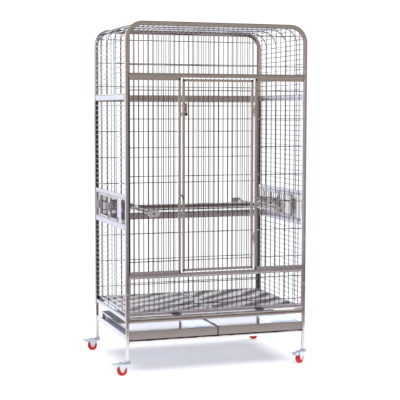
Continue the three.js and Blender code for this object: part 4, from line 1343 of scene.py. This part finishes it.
# %% [markdown]
# The casters are light pressed-steel forks with a swivel race of two stacked domes, a red
# wheel with a hub and a stepped web, a riveted axle, and a wide brake pedal with ribs. The
# front right one rests turned about its stem, and the other three trail to the left.

# %% Casters
AXLE_X, AXLE_LEVEL = -27, 25
PEDAL_TIP = -80
PEDAL_PIN = (AXLE_X - 6.5, 56.5)
CASTER_TURNS = {"front_right": math.radians(28)}


def arc(centre, radius, start, end, step=18):
    turns = [math.radians(start + (end - start) * i / (abs(end - start) // step))
             for i in range(int(abs(end - start) // step) + 1)]
    return [(centre[0] + radius * math.cos(a), centre[1] + radius * math.sin(a)) for a in turns]


def caster_bracket():
    fork = Metalwork()
    race = [(0, 55), (13, 55.4), (15, 57), (15, 60.4), (13.2, 61.2), (13.2, 62.6), (15, 63.4), (15, 66.4),
            (14.2, 67.5), (5, 67.5), (5, 110), (0, 110)]
    fork.turned((0, 0, 0), (0, 0, 1), race, 28)
    crown = [(13, 55), (14, 58), (12, 61), (AXLE_X + 4, 61), (AXLE_X + 2, 59), (AXLE_X + 2, 57)]
    fork.plate(crown, -14.4, 14.4)
    cheek = [(13, 60.8), (AXLE_X - 11, 60.8), (AXLE_X - 14, 58), (AXLE_X - 16, 50), (AXLE_X - 14.6, 38)]
    cheek += arc((AXLE_X, AXLE_LEVEL), 8.5, 190, 350) + [(AXLE_X + 15, 37), (14, 54), (14, 59)]
    for near, far in ((12, 14.4), (-14.4, -12)):
        fork.plate(cheek, near, far)
    for end in (-1, 1):
        cap = [(0, 11.5), (4.6, 11.5), (4.6, 14.4), (6.4, 14.4), (6.4, 15.2), (4.6, 15.9), (0, 16)]
        fork.turned((AXLE_X, 0, AXLE_LEVEL), (0, end, 0), cap, 18)
        rivet = [(0, 11.8), (1.6, 11.8), (2.8, 14.5), (2.2, 15.2), (0, 15.4)]
        fork.turned((PEDAL_PIN[0], 0, PEDAL_PIN[1]), (0, end, 0), rivet, 12)
        fork.turned((6, 0, 57.5), (0, end, 0), rivet, 12)
    return fork


def caster_wheel():
    wheel = Metalwork()
    tread = [(4.4, -10), (8.5, -10), (9, -9), (9, -7.6), (18.5, -7.2), (20, -9.4), (21.6, -10),
             (24.4, -7.4), (25, -5), (25, 5), (24.4, 7.4), (21.6, 10), (20, 9.4), (18.5, 7.2),
             (9, 7.6), (9, 9), (8.5, 10), (4.4, 10)]
    wheel.turned((AXLE_X, 0, AXLE_LEVEL), (0, 1, 0), tread, 48, looped=True)
    return wheel


def brake_pedal():
    """A pressed channel: a ribbed tread, a rolled tip and a deepening flange at each side."""
    pedal = Metalwork()
    barrel_profile = [(1.9, -11.6), (3.1, -11.6), (3.1, 11.6), (1.9, 11.6)]
    pedal.turned((PEDAL_PIN[0], 0, PEDAL_PIN[1]), (0, 1, 0), barrel_profile, 20, looped=True)
    tip = PEDAL_TIP
    blade = [(PEDAL_PIN[0] - 1, 56), (PEDAL_PIN[0] - 1, 58.4), (tip + 4, 58.6), (tip + 1.4, 58.4),
             (tip, 57), (tip + 0.4, 55.4), (tip + 3, 56.2)]
    pedal.plate(blade, -11.4, 11.4)
    flange = [(tip + 4, 57.4), (AXLE_X - 42, 49), (AXLE_X - 33, 41.6), (AXLE_X - 30, 41), (AXLE_X - 20, 46),
              (AXLE_X - 12, 54), (AXLE_X - 9, 57.4)]
    for near in (-11.5, 10.4):
        pedal.plate(flange, near, near + 1.1)
    for a in (tip + 9, tip + 13, tip + 17, tip + 21):
        pedal.wire((a, -10, 58.3), (a, 10, 58.3), 0.8, 8)
    return pedal


def caster(row, column, x, y):
    key = f"{row}_{column}"
    parts = [
        (caster_bracket(), "_caster_bracket", "_caster", zinc_plate, "_caster_fork", "zinc", 0.4),
        (caster_wheel(), "_caster_tyre", "_wheel", red_wheel, "_caster_wheel", "red", 0.0),
        (brake_pedal(), "_pedal_plate", "_pedal", zinc_plate, "_brake_pedal", "zinc", 0.25),
    ]
    stand = Matrix.Translation((x, y, 0)) @ Matrix.Rotation(CASTER_TURNS.get(key, 0.0), 4, "Z")
    for work, name, body, material, node, slot, bevel in parts:
        work.points = [stand @ point for point in work.points]
        work.piece(key + name, key + body, material, key + node, slot=slot, bevel=bevel, smooth=40)


for row, y in (("front", -POST_Y), ("rear", POST_Y)):
    for column, x in (("left", -POST_X), ("right", POST_X)):
        caster(row, column, x, y)
print("casters made")

# %% [markdown]
# Bright machine screws hold the walls to the posts. Their heads sit on the front and back
# faces of the posts at the levels of the panels' clips, and along the bent tube.

# %% Screws in the frame
POST_SCREWS = {-1: (1457, 1258, 906, 626, 390, 222), 1: (1459, 1258, 912, 634, 402, 235)}
TOP_SCREWS = (-240, 232, 332)


def frame_screws():
    work = Metalwork()
    for column, levels in POST_SCREWS.items():
        for level in levels:
            screw(work, WALLS["front"], column * POST_X, TUBE / 2, level, 3.6)
            screw(work, WALLS["back"], column * POST_X, TUBE / 2, level, 3.6)
    for x in TOP_SCREWS:
        screw(work, WALLS["front"], x, TUBE / 2, TOP_LINE, 3.2)
        screw(work, WALLS["back"], -x, TUBE / 2, TOP_LINE, 3.2)
    work.piece("frame_screws", "cage", bright_steel, slot="tube")


frame_screws()
